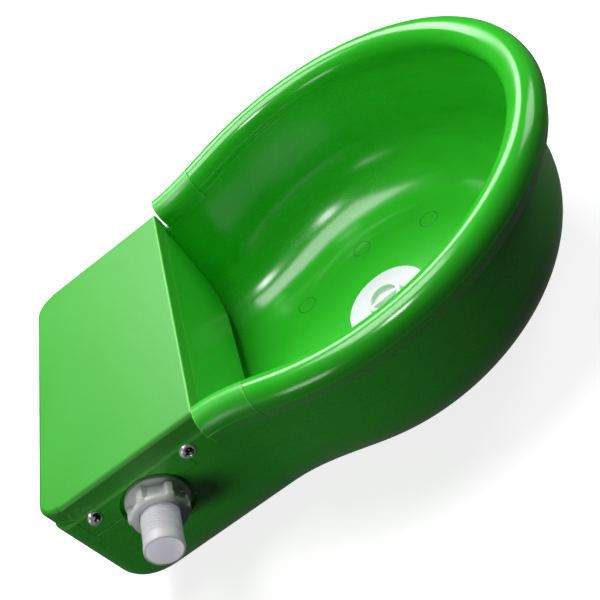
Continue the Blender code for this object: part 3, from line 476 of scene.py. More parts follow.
def greenBowl():
    # moulded green of the bowl, with the mould's own marks
    g = greenPaint
    material, shader, place = newMaterial("bowlGreen", g["roughness"])
    x, y, z = parts(place)
    wide = abs(x)
    away = vectorSum("LENGTH", vectorOf(x, y - shared["bowlY"]))
    grain = useGroup(mouldGrain, Place=place, Grain=1100.0, Cloud=14.0, Specks=240.0)
    cloud, speck = grain["Cloudiness"], grain["Speck"]
    wear = useGroup(edgeWear, Place=place, Breakup=300.0, Start=0.54)["Mask"]
    # the scratches are strong on the outside only
    outside = ((away > g["wallRadius"]) | (wide > 0.0985)) * (z < 0.0975)
    lines = useGroup(scratches, Place=place, Fineness=1500.0, Share=0.55)["Mask"]
    lines = lines * (0.12 + outside * 0.88)
    # circles of the ejector pins, the same on both halves
    bothSides = vectorOf(wide, y, z)
    rings = None
    for spot in g["ejectors"]:
        mark = useGroup(
            roundMark, Place=bothSides, Centre=spot, Radius=g["ejectorRadius"], Width=g["ejectorWidth"])
        rings = mark["Ring"] if rings is None else rings | mark["Ring"]
    # outlines of the mould's side core, on the tank's outer sides
    core = useGroup(frameMark, Across=y, Up=z, **coreMark)["Line"] * (wide > g["sideX"])
    port = useGroup(frameMark, Across=y, Up=z, **portMark)["Line"] * (x < -g["sideX"]) * (z < 0.0743)
    seams = core | port
    # the split line across the rolled rim, near its ends
    high, atSides = z > g["rimLowZ"], wide > 0.09
    splitLine = lineAt(y, g["splitY"], 0.0, 0.00035) * high * atSides
    colour = tinted(g["base"], ramp(cloud, 0.35, 0.68), g["fresh"])
    streaks = noise(vectorSum("MULTIPLY", place, (9.0, 9.0, 70.0)), 3.0, 3.0)
    colour = tinted(colour, ramp(streaks, 0.42, 0.72) * 0.30, g["deep"])
    colour = tinted(colour, lines * 0.45, g["pale"])
    colour = tinted(colour, speck * 0.35, g["speck"])
    colour = tinted(colour, wear * 0.55, g["worn"])
    # painted shade on the wall's top just under the cover's edge, and dirt in the marks
    jointShade = ramp(z, 0.0900, 0.0905) * (y > 0.0662) * (wide > 0.0975)
    seams = seams | jointShade
    colour = tinted(colour, rings * 0.85 | seams * 0.75 | splitLine * 0.65, g["dirt"])
    # bright flash beside the split line and on the spur at the rim's ends, and a painted highlight on the
    # rim's end faces
    beside = lineAt(y, g["splitY"] + 0.0008, 0.0, 0.00035) * high * atSides
    endY = shared["rimEndY"]
    # painted highlight: the rim's end faces are lightened toward the flash colour
    ends = ramp(y, endY - 0.0010, endY - 0.0006) * high
    spur = lineAt(z, 0.0968, 0.0003, 0.0009)
    spur = spur * ramp(y, endY - 0.0110, endY - 0.0040) * (wide > 0.1138)
    colour = tinted(colour, beside * 0.5 | ends * 0.6 | spur, g["flash"])
    # dark streaks on the floor under the foot of the cover's plate
    rub = ramp(noise(vectorSum("MULTIPLY", place, (26.0, 260.0, 1.0)), 1.0, 2.0), 0.66, 0.72)
    rub = rub * lineAt(y, 0.0745, 0.002, 0.006) * (z < 0.0095)
    colour = tinted(colour, rub * 0.6, g["rub"])
    behindSplit = high * (y > g["splitY"])
    rough = g["roughness"] + (cloud - 0.5) * 0.10 + lines * 0.12 + behindSplit * 0.16
    # ripples of the cooling around the floor's edge, and slow waves
    ripple = calculate("SINE", away * (2 * pi / g["ripplePitch"]))
    ripple = ripple * ramp(away, *g["rippleFrom"]) * ramp(away, *g["rippleTo"], 1.0, 0.0)
    height = grain["Height"] * 0.010 - lines * 0.03 - rings * 0.35 - seams - splitLine * 0.8
    height = height + ripple * 0.42 + noise(place, 26.0, 1.0) * 0.10
    finishShader(shader, colour, rough, height, 0.7, 0.00022)
    return material


def greenCover():
    # the cover's yellower green, with light and dark specks and pale flash lines
    g = lidPaint
    material, shader, place = newMaterial("coverGreen", g["roughness"])
    x, y, z = parts(place)
    grain = useGroup(mouldGrain, Place=place, Grain=900.0, Cloud=22.0, Specks=330.0)
    cloud, speck = grain["Cloudiness"], grain["Speck"]
    elsewhere = vectorSum("ADD", place, (0.31, 0.17, 0.05))
    darkSpeck = useGroup(mouldGrain, Place=elsewhere, Grain=900.0, Cloud=60.0, Specks=210.0)["Speck"]
    lines = useGroup(scratches, Place=place, Fineness=1300.0, Share=0.30)["Mask"]
    wear = useGroup(edgeWear, Place=place, Breakup=420.0, Start=0.54)["Mask"]
    colour = tinted(greenPaint["base"], z > g["lowZ"], g["base"])
    colour = tinted(colour, ramp(cloud, 0.38, 0.66) * 0.5, g["fresh"])
    colour = tinted(colour, speck * 0.45, g["speck"])
    colour = tinted(colour, darkSpeck * 0.38, g["darkSpeck"])
    colour = tinted(colour, lines * 0.22, g["pale"])
    colour = tinted(colour, wear * 0.5, g["worn"])
    # flash along the parting line across the front, broken into dashes, and along the sides' lower edge; a
    # painted highlight along the top's front edge
    dashes = ramp(noise(vectorSum("MULTIPLY", place, (150.0, 1.0, 1.0)), 1.0, 2.0), 0.38, 0.50)
    flash = lineAt(z, g["splitZ"], 0.0001, 0.00055) * (y < g["frontY"]) * dashes
    brim = lineAt(z, g["brimZ"], 0.0001, 0.00028) * (abs(x) > g["brimX"])
    # painted highlight on the rounded front edge of the top
    lip = lineAt(z, g["lipZ"], 0.0001, 0.00035) * (y < g["lipY"])
    colour = tinted(colour, (flash | brim * 0.55 | lip * 0.6) * 0.85, g["flash"])
    rough = g["roughness"] + (cloud - 0.5) * 0.14
    height = grain["Height"] * 0.05 + speck * 0.35 - darkSpeck * 0.30 - lines * 0.05
    finishShader(shader, colour, rough, height + noise(place, 30.0, 1.0) * 0.25, 0.6, 0.00018)
    return material


def paintedBoreGlow(shader, place, y, z, radius, toX, colour, strength):
    # painted glow in the tube's bore: an emission that stands in for daylight coming through its thin wall
    x, dy, dz, far = aboutAxis(place, y, z)
    depth = ramp(x, toX - 0.030, toX, 1.0, 0.62) * (x < toX + 0.004)
    spots = ramp(noise(place, 900.0, 2.0), 0.40, 0.62, 0.94, 1.0)
    glow = (far < radius) * depth * (spots * strength)
    setInputs(shader, {"Emission Color": (*colour, 1), "Emission Strength": glow})


def milkyWhite(name, colour, cloudyTone, roughness, haze=0.05, depth=0.0012, bore=None):
    # plastic that lets some light in, how much by haze and how deep by depth
    material, shader, place = newMaterial(name, roughness, ior=1.49)
    setInputs(shader, {
        "Subsurface Weight": haze, "Subsurface Radius": (0.9, 1.0, 1.0), "Subsurface Scale": depth})
    # bore, when given, paints a glow into the tube's bore
    if bore:
        paintedBoreGlow(shader, place, **bore)
    grain = useGroup(mouldGrain, Place=place, Grain=1400.0, Cloud=45.0, Specks=420.0)
    cloud = grain["Cloudiness"]
    lines = useGroup(scratches, Place=place, Fineness=520.0, Share=0.30)["Mask"]
    wear = useGroup(edgeWear, Place=place, Breakup=600.0, Start=0.55)["Mask"]
    # a second, darker tone that follows the random cloudiness
    tint = tinted(colour, ramp(cloud, 0.3, 0.7) * 0.35, cloudyTone)
    tint = tinted(tint, grain["Speck"] * 0.25, (0.42, 0.41, 0.38))
    tint = tinted(tint, wear * 0.4, (0.90, 0.90, 0.92))
    rough = roughness + lines * 0.12 + (cloud - 0.5) * 0.14
    height = grain["Height"] * 0.35 + cloud * 0.5 - lines * 0.3
    finishShader(shader, tint, rough, height, 0.5, 0.00006)
    return material


def paintedCrossShade(shader, place, tint, metallic, height, ys, faceX, reach):
    # painted shade in the cross recesses of the screws on the tank's sides: near black and less metallic
    # there
    near = None
    for y in ys:
        x, dy, dz, far = aboutAxis(place, y, height)
        near = far < reach if near is None else near | (far < reach)
    recessShade = near * ramp(abs(x), faceX - 0.0004, faceX, 1.0, 0.0)
    feed(shader.inputs["Metallic"], clamped(metallic - recessShade))
    return tinted(tint, recessShade, (0.004, 0.004, 0.005))


def metal(name, colour, stain, roughness, fineness, metallic=1.0, crosses=None):
    material, shader, place = newMaterial(name, roughness, metallic=metallic)
    lines = useGroup(scratches, Place=place, Fineness=fineness, Share=0.5)["Mask"]
    wear = useGroup(edgeWear, Place=place, Breakup=500.0, Start=0.54)["Mask"]
    spots = ramp(noise(place, 240.0, 4.0, 0.6), 0.55, 0.72)
    tint = tinted(colour, spots * 0.55, stain)
    tint = tinted(tint, wear * 0.5, [min(1, 1.15 * c) for c in colour])
    # paints shade into the screws' cross recesses when given
    if crosses:
        tint = paintedCrossShade(shader, place, tint, metallic, **crosses)
    rough = roughness + spots * 0.20 + lines * 0.15
    finishShader(shader, tint, rough, noise(place, 700.0, 2.0) - lines * 0.6, 0.35, 0.00004)
    return material


def rubber():
    material, shader, place = newMaterial("sealRubber", 0.7)
    grain = useGroup(mouldGrain, Place=place, Grain=1800.0, Cloud=60.0, Specks=700.0)
    cloud = grain["Cloudiness"]
    tint = tinted((0.018, 0.018, 0.019), ramp(cloud, 0.3, 0.7), (0.040, 0.039, 0.037))
    tint = tinted(tint, grain["Speck"] * 0.6, (0.16, 0.155, 0.15))
    finishShader(shader, tint, 0.62 + cloud * 0.22, grain["Height"], 0.6, 0.00008)
    return material


# the painted glow in the valve tube's bore
tubeBoreGlow = {
    "y": inlet["y"], "z": inlet["z"], "radius": 0.00945, "toX": -0.0900, "colour": (0.97, 0.95, 1.0),
    "strength": 0.17,
}
# where the painted shade goes in the screws' cross recesses
screwCrossShade = {"height": coverScrew["z"], "ys": coverScrew["ys"], "faceX": 0.1020, "reach": 0.0033}
bowlPaint = greenBowl()
coverPaint = greenCover()
nutWhite = milkyWhite("nutWhite", (0.93, 0.94, 0.96), (0.86, 0.87, 0.90), 0.34, 0.80, 0.0045)
tubeWhite = milkyWhite("tubeWhite", (0.90, 0.90, 0.96), (0.84, 0.84, 0.90), 0.32, 0.90, 0.0070, tubeBoreGlow)
seatWhite = milkyWhite("seatWhite", (0.86, 0.86, 0.92), (0.80, 0.81, 0.88), 0.30)
plugWhite = milkyWhite("plugWhite", (0.78, 0.88, 0.81), (0.72, 0.83, 0.75), 0.34, 0.60, 0.0030)
floatIvory = milkyWhite("floatIvory", (0.76, 0.74, 0.68), (0.66, 0.63, 0.55), 0.42)
screwChrome = metal("screwChrome", (0.78, 0.78, 0.80), (0.42, 0.41, 0.40), 0.20, 900.0)
screwPlating = metal("screwPlating", (0.95, 0.95, 0.98), (0.70, 0.70, 0.72), 0.30, 1900.0, 0.45, screwCrossShade)
warmBrass = metal("warmBrass", (0.80, 0.58, 0.26), (0.40, 0.24, 0.10), 0.28, 700.0)
sealRubber = rubber()
print("materials made")

bowl = {
    "centreY": shared["bowlY"], "rimEndY": shared["rimEndY"], "rimRadius": 0.1286, "beadRadius": 0.00995,
    "rimTop": 0.1076, "skirtZ": 0.0888, "rimStep": 0.0005, "skirtTaper": 0.0022, "skirtWall": 0.0024,
    "roofWall": 0.0034, "wallInset": 0.0054, "bowlFillet": 0.0437, "bowlDraft": 0.0008, "lean": 0.004,
    "halfWidth": 0.0996, "backY": 0.169825, "sideDraft": 0.0018, "tankFillet": 0.0358, "tankCorner": 0.01,
    "seamZ": 0.091, "shoulder": 14.0, "wall": 0.0032, "footZ": 0.005, "footWall": 0.003, "footInset": 0.006,
    "flash": 0.00020, "edge": 0.0004, "wallTopZ": 0.0905, "rimFootZ": 0.0912, "rimKneeZ": 0.09237,
    "beadStart": 202, "lineDrop": 0.00175,
}
bowl["rimZ"] = bowl["rimTop"] - bowl["beadRadius"]
bowl["rimHalf"] = bowl["halfWidth"] + bowl["wallInset"]
bowl["floorZ"] = bowl["footZ"] + bowl["wall"]
shoulderSteps = [i / 24 for i in range(1, 23)] + [0.9565, 0.9623, 0.9942, 1.0]


def rimLine(radius, halfWidth, lean=0.0):
    # left end, round the nose, to the right end
    turn = radians(90 + bowl["shoulder"])
    half = arc((0, bowl["centreY"] + lean), radius, -pi / 2, turn - pi / 2, 88)
    start, end = half[-1], Vector((halfWidth, bowl["rimEndY"]))
    tail = end - Vector((0, (end - start).length / 3))
    # the lead is as long as it takes to leave the round bowl without a jump in curvature
    ahead, toTail = Vector((cos(turn), sin(turn))), tail - start
    bend = max(0.0, ahead.x * toTail.y - ahead.y * toTail.x)
    lead = start + sqrt(2 / 3 * radius * bend) * ahead
    for t in shoulderSteps:
        u = 1 - t
        half.append(u * u * u * start + 3 * u * u * t * lead + 3 * u * t * t * tail + t * t * t * end)
    return mirrored(half[1:]) + half


def tankLine(halfWidth, backY, corner, sides=10, turns=12):
    # from behind the right rim end, round the back, to behind the left one
    cornerY = backY - corner
    startY = bowl["rimEndY"]
    half = [Vector((halfWidth, startY + (cornerY - startY) * i / sides)) for i in range(1, sides)]
    half += arc((halfWidth - corner, cornerY), corner, 0, pi / 2, turns)
    half += [Vector(((halfWidth - corner) * (1 - i / 5), backY)) for i in range(1, 5)]
    return half + mirrored(half)


def filletInset(height, radius):
    if height >= radius:
        return 0.0
    return radius - sqrt(max(0.0, radius * radius - (radius - height) ** 2))


def shellRing(z, inner):
    b = bowl
    share = max(0.0, b["seamZ"] - z) / (b["seamZ"] - b["footZ"])
    wall = b["wall"] if inner else 0.0
    above = z - b["footZ"] - wall
    big = filletInset(above, b["bowlFillet"] - wall)
    small = filletInset(above, b["tankFillet"] - wall)
    radius = b["rimRadius"] - b["wallInset"] - b["bowlDraft"] * share - wall - big
    side = b["halfWidth"] - b["sideDraft"] * share - wall - small
    line = rimLine(radius, side, b["lean"] * share)
    line += tankLine(side, b["backY"] - wall - small, b["tankCorner"] - wall)
    return [(p.x, p.y, z) for p in line]


def rimSection(tight, webbed):
    # (offset, height) from the inner wall over the bead and down to the outer wall
    b = bowl
    bead = b["beadRadius"] - tight
    wallU = -(b["wallInset"] + b["wall"])
    start, knee = Vector((wallU, b["rimFootZ"])), Vector((wallU, b["rimKneeZ"]))
    begin = radians(b["beadStart"])
    end = Vector((bead * cos(begin), b["rimZ"] + bead * sin(begin)))
    points = [start * (1 - t) ** 2 + knee * 2 * t * (1 - t) + end * t * t for t in (0.0, 0.25, 0.5, 0.75)]
    points += arc((0, b["rimZ"]), bead, begin, 0, 30)
    # the parting line stands out a little, and the skirt below it is stepped in
    flash, lineDrop = b["flash"], b["lineDrop"]
    for u, drop in ((flash * 0.5, 0.00045), (flash, 0.00070), (flash, 0.00095), (-0.0001, 0.00120),
                    (-0.0004, 0.00140), (-0.0005, lineDrop)):
        points.append(Vector((bead + u, b["rimZ"] - drop)))
    top = Vector((bead - b["rimStep"], b["rimZ"] - lineDrop))
    foot = Vector((bead - b["rimStep"] - b["skirtTaper"], b["skirtZ"] + 0.0004))
    for i in range(1, 6):
        points.append(top + (foot - top) * i / 5)
    points.append(foot + Vector((-0.00012, -0.00029)))
    points.append(foot + Vector((-0.0004, -0.0004)))
    lip = Vector((b["beadRadius"] - b["rimStep"] - b["skirtTaper"] - b["skirtWall"], b["skirtZ"]))
    outerWall = Vector((-b["wallInset"] - 0.00008, b["skirtZ"]))
    # the hollow under the bead; webbed sections close it at the rim's ends
    crown = b["rimTop"] - b["roofWall"] - b["rimZ"]
    left, right = -b["wallInset"] - 0.0005, lip.x + b["skirtTaper"]
    middle, half = (left + right) / 2, (right - left) / 2
    rightTop, leftTop = Vector((right, b["rimZ"])), Vector((left, b["rimZ"]))
    channel = [lip + Vector((0.0002, 0)), lip + Vector((0, 0.0004))]
    channel += [lip + (rightTop - lip) * i / 4 for i in range(1, 4)]
    for i in range(13):
        angle = pi * i / 12
        channel.append(Vector((middle + half * cos(angle), b["rimZ"] + crown * sin(angle))))
    channel += [leftTop + (outerWall - leftTop) * i / 5 for i in range(1, 5)]
    if webbed:
        count = len(channel)
        channel = [lip + (outerWall - lip) * i / count for i in range(count)]
    return points + channel


def tankEdge():
    # over the tank wall's top, as (inset from the outer face, height)
    top, wall = bowl["seamZ"], bowl["wall"]
    return [(wall, top - 0.0005), (wall - 0.00008, top - 0.0002), (wall - 0.0003, top), (wall * 0.5, top),
            (0.0003, top), (0.00008, top - 0.0002), (0.0, top - 0.0006)]


def makeShell():
    b = bowl
    shape = bmesh.new()
    surfaces = []
    for lowZ, fillet, topZ, isInner in ((b["floorZ"], b["bowlFillet"] - b["wall"], b["wallTopZ"], True),
                                        (b["footZ"], b["bowlFillet"], b["skirtZ"], False)):
        heights = [lowZ + fillet * (1 - cos(pi / 2 * i / 20)) for i in range(21)]
        heights += [heights[-1] + (topZ - heights[-1]) * i / 8 for i in range(1, 9)]
        surfaces.append([[shape.verts.new(p) for p in shellRing(z, isInner)] for z in heights])
    inner, outer = surfaces
    full = len(inner[0])
    rimCount = len(rimLine(b["rimRadius"], b["rimHalf"]))
    for rows in surfaces:
        skin(shape, rows)
        shape.faces.new(rows[0])
    # the rim: every station along it has its own section
    hollow, webbed, ended = rimSection(0.0, False), rimSection(0.0, True), rimSection(b["edge"], True)
    lines = {}
    rim = []
    for station in range(rimCount):
        fromEnd = min(station, rimCount - 1 - station)
        section = ended if fromEnd == 0 else webbed if fromEnd < 3 else hollow
        column = []
        for u, z in section:
            key = round(u, 7)
            if key not in lines:
                lines[key] = rimLine(b["rimRadius"] + u, b["rimHalf"] + u)
            p = lines[key][station]
            column.append(shape.verts.new((p.x, p.y, z)))
        rim.append([inner[-1][station]] + column + [outer[-1][station]])
    skin(shape, rim, around=False)
    # the tank's open edge between the rim's two ends
    edgeLines = []
    for inset, z in tankEdge():
        side = b["halfWidth"] - inset
        line = tankLine(side, b["backY"] - inset, b["tankCorner"] - inset)
        ends = ((side, b["rimEndY"]), (-side, b["rimEndY"]))
        edgeLines.append([(*p, z) for p in (ends[0], *line, ends[1])])
    tank = []
    for i, points in enumerate(zip(*edgeLines)):
        index = (rimCount - 1 + i) % full
        tank.append([inner[-1][index], *(shape.verts.new(p) for p in points), outer[-1][index]])
    skin(shape, tank, around=False)
    for rimColumn, tankColumn in ((rim[-1], tank[0]), (rim[0], tank[-1])):
        shape.faces.new(rimColumn + tankColumn[-2:0:-1])
    return closedMesh("bowlShell", shape)


drain = {
    "y": -0.025475, "hole": 0.0193, "plugRadius": 0.01195, "pocket": 0.00885, "bar": 0.0024,
    "barShift": -0.0013, "turn": 4.0,
}
wallSlot = {"x": 0.06, "z": 0.077, "radius": 0.0036, "length": 0.012}


def footRib():
    b = bowl
    flatRadius = b["rimRadius"] - b["wallInset"] - b["bowlDraft"] - b["bowlFillet"]
    flatSide = b["halfWidth"] - b["sideDraft"] - b["tankFillet"]
    rings = []
    for inset, z in ((0.0, 0.0065), (0.0, 0.0004), (0.0004, 0.0), (b["footWall"] - 0.0004, 0.0),
                     (b["footWall"], 0.0004), (b["footWall"], 0.0065)):
        back = b["footInset"] + inset
        line = rimLine(flatRadius - back, flatSide - back, b["lean"])
        line += tankLine(flatSide - back, b["backY"] - b["tankFillet"] - back, b["tankCorner"] - inset)
        rings.append([(p.x, p.y, z) for p in line])
    return skinRings("footRib", rings, joined=True)


def screwRods(shape, side, radius, fromX, toX, sides):
    for y in coverScrew["ys"]:
        rod(shape, radius, (side * fromX, y, coverScrew["z"]), (side * toX, y, coverScrew["z"]), sides)


def slotShape(shape, side):
    # a fixing slot through the back wall
    half = wallSlot["length"] / 2 - wallSlot["radius"]
    loop = []
    for i in range(40):
        angle = 2 * pi * i / 40
        z = wallSlot["z"] + (half if sin(angle) > 0 else -half) + wallSlot["radius"] * sin(angle)
        loop.append(shape.verts.new((side * wallSlot["x"] + wallSlot["radius"] * cos(angle), 0.16, z)))
    face = shape.faces.new(loop)
    grown = bmesh.ops.extrude_face_region(shape, geom=[face])
    far = [v for v in grown["geom"] if isinstance(v, bmesh.types.BMVert)]
    bmesh.ops.translate(shape, verts=far, vec=(0, 0.02, 0))


def finishShell():
    shell = makeShell()
    carve(shell, footRib(), "UNION")
    y, z, padX = inlet["y"], inlet["z"], inlet["padX"]
    pad = bmesh.new()
    rod(pad, inlet["padRadius"], (inlet["recessX"] - 0.0001, y, z), (padX, y, z), 72)
    carve(shell, closedMesh("pad", pad), "UNION")
    holes = bmesh.new()
    rod(holes, drain["hole"], (0, drain["y"], -0.01), (0, drain["y"], 0.03), 72)
    for side in (-1, 1):
        screwRods(holes, side, coverScrew["hole"], 0.09, 0.104, 28)
        slotShape(holes, side)
    carve(shell, closedMesh("holes", holes), "DIFFERENCE")
    recess = [
        (0.0, padX + 0.004), (inlet["hole"], padX + 0.004), (inlet["hole"], inlet["recessX"]),
        (inlet["recessRadius"], inlet["recessX"]), (inlet["recessRadius"], -0.108), (0.0, -0.108)]
    carve(shell, lathe("recess", recess, (0, y, z), (1, 0, 0), 72, closed=False), "DIFFERENCE")
    return smooth(shell, 34)


bowlShell = finishShell()
dress(bowlShell, bowlPaint, "bowl", "green_plastic", "bowl_shell")
print("bowl shell:", len(bowlShell.data.polygons), "faces")

cover = {
    "halfWidth": 0.1, "frontY": 0.067625, "backY": 0.170225, "topZ": 0.1035, "seamZ": 0.0913, "wall": 0.0028,
    "round": 0.003, "frontRound": 0.0013, "step": 0.0011, "corner": 0.0130, "splitZ": 0.0945,
    "plateSlope": 0.095, "plateFoot": 0.022, "plateCorner": 0.024, "plateWall": 0.0026, "plateGap": 0.0006,
    "lugWidth": 0.012, "lugWall": 0.0032, "lugEnd": 0.0064, "lugGap": 0.0004,
}


def coverRing(inset, frontInset, z):
    c = cover
    side = c["halfWidth"] - inset
    narrow = side - c["step"]
    corner = max(c["corner"] - inset, 0.004)
    front, back = c["frontY"] + frontInset, c["backY"] - inset
    stepY = c["backY"] - c["corner"] - c["step"]
    nip = 0.0009
    # the front edge, its nipped corner, the side, the small step and the rear corner
    half = [Vector((side * i / 6, front)) for i in range(6)]
    half += arc((side - nip, front + nip), nip, -pi / 2, 0, 4)
    half += [Vector((side, front + (stepY - front) * i / 8)) for i in range(1, 8)]
    half += [Vector((side, stepY - 0.0003)), Vector((side - 0.0002, stepY + 0.0001))]
    stepEnd = stepY + c["step"]
    half += [Vector((narrow + 0.0002, stepEnd - 0.0002)), Vector((narrow, stepEnd + 0.0001))]
    half += arc((narrow - corner, back - corner), corner, 0, pi / 2, 14)[1:]
    half += [Vector(((narrow - corner) * (1 - i / 5), back)) for i in range(1, 5)]
    half.append(Vector((0, back)))
    return [(p.x, p.y, z) for p in half + mirrored(half[1:-1])]


def sideDraft(z):
    return bowl["sideDraft"] * max(0.0, bowl["seamZ"] - z) / (bowl["seamZ"] - bowl["footZ"])


def insideX(z, gap):
    # how far the tank's room reaches at that height, less a gap
    return bowl["halfWidth"] - sideDraft(z) - bowl["wall"] - gap


def frontPlate():
    c = cover
    footHalf = insideX(c["plateFoot"] + c["plateCorner"], c["plateGap"])
    topHalf = insideX(bowl["seamZ"], c["plateGap"])
    half = [(topHalf, c["splitZ"] + 0.0013), (topHalf, bowl["seamZ"])]
    for i in range(17):
        angle = pi / 2 * i / 16
        x = footHalf - c["plateCorner"] * (1 - cos(angle))
        half.append((x, c["plateFoot"] + c["plateCorner"] * (1 - sin(angle))))
    outline = half + [(-x, z) for x, z in reversed(half)]
    rings = []
    # depth from the plate's front, with the inset that rounds its edges
    for depth, inset in ((0.0, 0.0005), (0.00015, 0.00015), (0.0005, 0.0), (c["plateWall"] - 0.0004, 0.0),
                         (c["plateWall"], 0.0004)):
        ring = []
        for x, z in outline:
            low = max(0.0, 1 - (z - c["plateFoot"]) / 0.06)
            nx = x - inset * (1 if x > 0 else -1) * min(1.0, abs(x) / 0.08)
            nz = z + inset * low
            lean = c["plateSlope"] * (c["splitZ"] - z)
            ring.append((nx, c["frontY"] + 0.0003 + lean + depth, nz))
        rings.append(ring)
    return skinRings("frontPlate", rings)


def makeCover():
    c = cover
    outside = [coverRing(0.0002, 0.0002, c["seamZ"]), coverRing(0.0, 0.0, c["seamZ"] + 0.0002)]
    start = c["topZ"] - c["round"]
    outside.append(coverRing(0.0, 0.0, start - 0.002))
    for i in range(11):
        angle = pi / 2 * i / 10
        inset, rise = c["round"] * (1 - cos(angle)), c["round"] * sin(angle)
        # the front edge is crisper: its own small round near the top
        z = start + rise
        late = max(0.0, z - (c["topZ"] - c["frontRound"]))
        front = filletInset(c["frontRound"] - late, c["frontRound"])
        outside.append(coverRing(inset, front, z))
    wall, ceiling = c["wall"], c["topZ"] - c["wall"]
    inside = [coverRing(wall, wall, c["seamZ"]), coverRing(wall, wall, ceiling - 0.003)]
    inside += [coverRing(wall * 1.15, wall, ceiling - 0.0006), coverRing(wall * 1.5, wall + 0.0004, ceiling)]
    made = skinRings("cover", inside[::-1] + outside)
    notch = bmesh.new()
    block(notch, (-0.2, c["frontY"] - 0.003, 0.088), (0.2, c["frontY"] + 0.0003, c["splitZ"]))
    carve(made, closedMesh("notch", notch), "DIFFERENCE")
    carve(made, frontPlate(), "UNION")
    holes = bmesh.new()
    bottom = coverScrew["z"] - c["lugEnd"]
    outer = insideX(bottom, c["lugGap"])
    for side in (-1, 1):
        lowX, highX = sorted((side * outer, side * (outer - c["lugWall"])))
        for y in coverScrew["ys"]:
            lug = bmesh.new()
            block(lug, (lowX, y - c["lugWidth"] / 2, bottom),
                  (highX, y + c["lugWidth"] / 2, c["topZ"] - wall / 2))
            carve(made, closedMesh("lug", lug), "UNION")
        screwRods(holes, side, coverScrew["lugHole"], 0.08, 0.098, 24)
    carve(made, closedMesh("lugHoles", holes), "DIFFERENCE")
    return smooth(made, 30)


valveCover = makeCover()
dress(valveCover, coverPaint, "bowl", "green_plastic", "valve_cover")
print("cover:", len(valveCover.data.polygons), "faces")

def newTree(name, inputs):
    return newGroup(name, [("Geometry", "g", None), *inputs], [("Geometry", "g")], "GeometryNodeTree")


def closeTree(tree, given, out, geometry):
    realized = node(tree, "GeometryNodeRealizeInstances", (geometry,))[0]
    painted = {"Geometry": realized, "Material": given["Material"]}
    feed(out[0], node(tree, "GeometryNodeSetMaterial", painted)[0])
    return tree


def moveTree(tree, given, out, dy, dz, share):
    # moves each point across the axis by a share of its offsets
    moved = {"Geometry": given["Geometry"], "Offset": vectorOf(0.0, dy * share, dz * share)}
    return closeTree(tree, given, out, node(tree, "GeometryNodeSetPosition", moved)[0])


def runTree(obj, tree, **values):
    # labels are given without their spaces
    mod = obj.modifiers.new(tree.name, "NODES")
    mod.node_group = tree
    for item in tree.interface.items_tree:
        label = item.name.replace(" ", "")
        if item.item_type == "SOCKET" and item.in_out == "INPUT" and label in values:
            mod[item.identifier] = values[label]
    return plainMesh(obj)


screwHead = {
    "radius": 0.0045, "height": 0.0026, "shank": 0.0019, "root": 0.74, "length": 0.012, "turns": 9,
    "cross": 0.0058, "slot": 0.0017,
}
screwTwist = {(-1, 0): 0.35, (-1, 1): 0.95, (1, 0): 0.2, (1, 1): 1.2}


def makeScrew():
    s = screwHead
    r, h, shank = s["radius"], s["height"], s["shank"]
    # the pan head: a flat top that falls off in a quarter turn, then the threaded shank
    profile = [(0.0, h)]
    for i in range(1, 9):
        angle = pi / 2 * (i - 4) / 4
        radius = r * 0.52 * i / 8 if i < 4 else r * (0.26 + 0.70 * sin(angle) * 0.98)
        share = 1 - 0.04 * (i / 8) ** 2 if i < 5 else 0.96 - 0.55 * (1 - cos(angle))
        profile.append((radius, h * share))
    profile += [(r, h * 0.30), (r, 0.00012), (r - 0.00012, 0.0), (shank, 0.0)]
    pitch = (s["length"] - 0.0026) / s["turns"]
    for i in range(s["turns"]):
        z = -0.0008 - pitch * i
        profile += [(shank, z), (shank, z - 0.25 * pitch)]
        profile += [(shank * s["root"], z - 0.55 * pitch), (shank * s["root"], z - 0.75 * pitch)]
    profile += [(shank * 0.6, -s["length"] + 0.0012), (0.0, -s["length"])]
    screw = lathe("screwMaster", profile, (0, 0, 0), (0, 0, 1), 40, closed=False)
    for turn in (0, pi / 2):
        rings = []
        for z, share in ((h * 0.22, 0.50), (h * 1.2, 1.0)):
            long, thin = s["cross"] / 2 * share, s["slot"] / 2 * (0.7 + 0.3 * share)
            corners = ((-long, -thin), (long, -thin), (long, thin), (-long, thin))
            rings.append([
                (a * cos(turn) - b * sin(turn), a * sin(turn) + b * cos(turn), z) for a, b in corners])
        carve(screw, skinRings("arm", rings), "DIFFERENCE")
    return smooth(screw, 30)


def screwTree():
    tree, given, out = newTree(
        "screwsOnPoints", [("Screw", "o", None), ("Size", "f", 1.0), ("Material", "m", None)])
    info = node(tree, "GeometryNodeObjectInfo", {"Object": given["Screw"]}, transform_space="ORIGINAL")
    facing = node(tree, "GeometryNodeInputNamedAttribute", {"Name": "facing"}, data_type="FLOAT_VECTOR")
    placed = {
        "Points": node(tree, "GeometryNodeMeshToPoints", {"Mesh": given["Geometry"]})[0],
        "Instance": info["Geometry"], "Scale": given["Size"],
        "Rotation": node(tree, "FunctionNodeEulerToRotation", (facing["Attribute"],))[0],
    }
    return closeTree(tree, given, out, node(tree, "GeometryNodeInstanceOnPoints", placed)[0])


def makeScrews():
    places, turns = [], []
    lean = radians(0.5)
    for side in (-1, 1):
        for i, y in enumerate(coverScrew["ys"]):
            places.append((side * coverScrew["seatX"], y, coverScrew["z"]))
            turns += [screwTwist[(side, i)], side * pi / 2 + lean * side, 0.0]
    mesh = bpy.data.meshes.new("coverScrews")
    mesh.from_pydata(places, [], [])
    mesh.attributes.new("facing", "FLOAT_VECTOR", "POINT").data.foreach_set("vector", turns)
    obj = linked(bpy.data.objects.new("coverScrews", mesh))
    master = makeScrew()
    runTree(obj, screwTree(), Screw=master, Size=1.0, Material=screwPlating)
    bpy.data.objects.remove(master)
    return smooth(obj, 30)


coverScrews = makeScrews()
dress(
    coverScrews, screwPlating, "bowl", "plated_steel", "cover_screw_front_left", "cover_screw_rear_left",
    "cover_screw_front_right", "cover_screw_rear_right")
print("screws:", len(coverScrews.data.polygons), "faces")

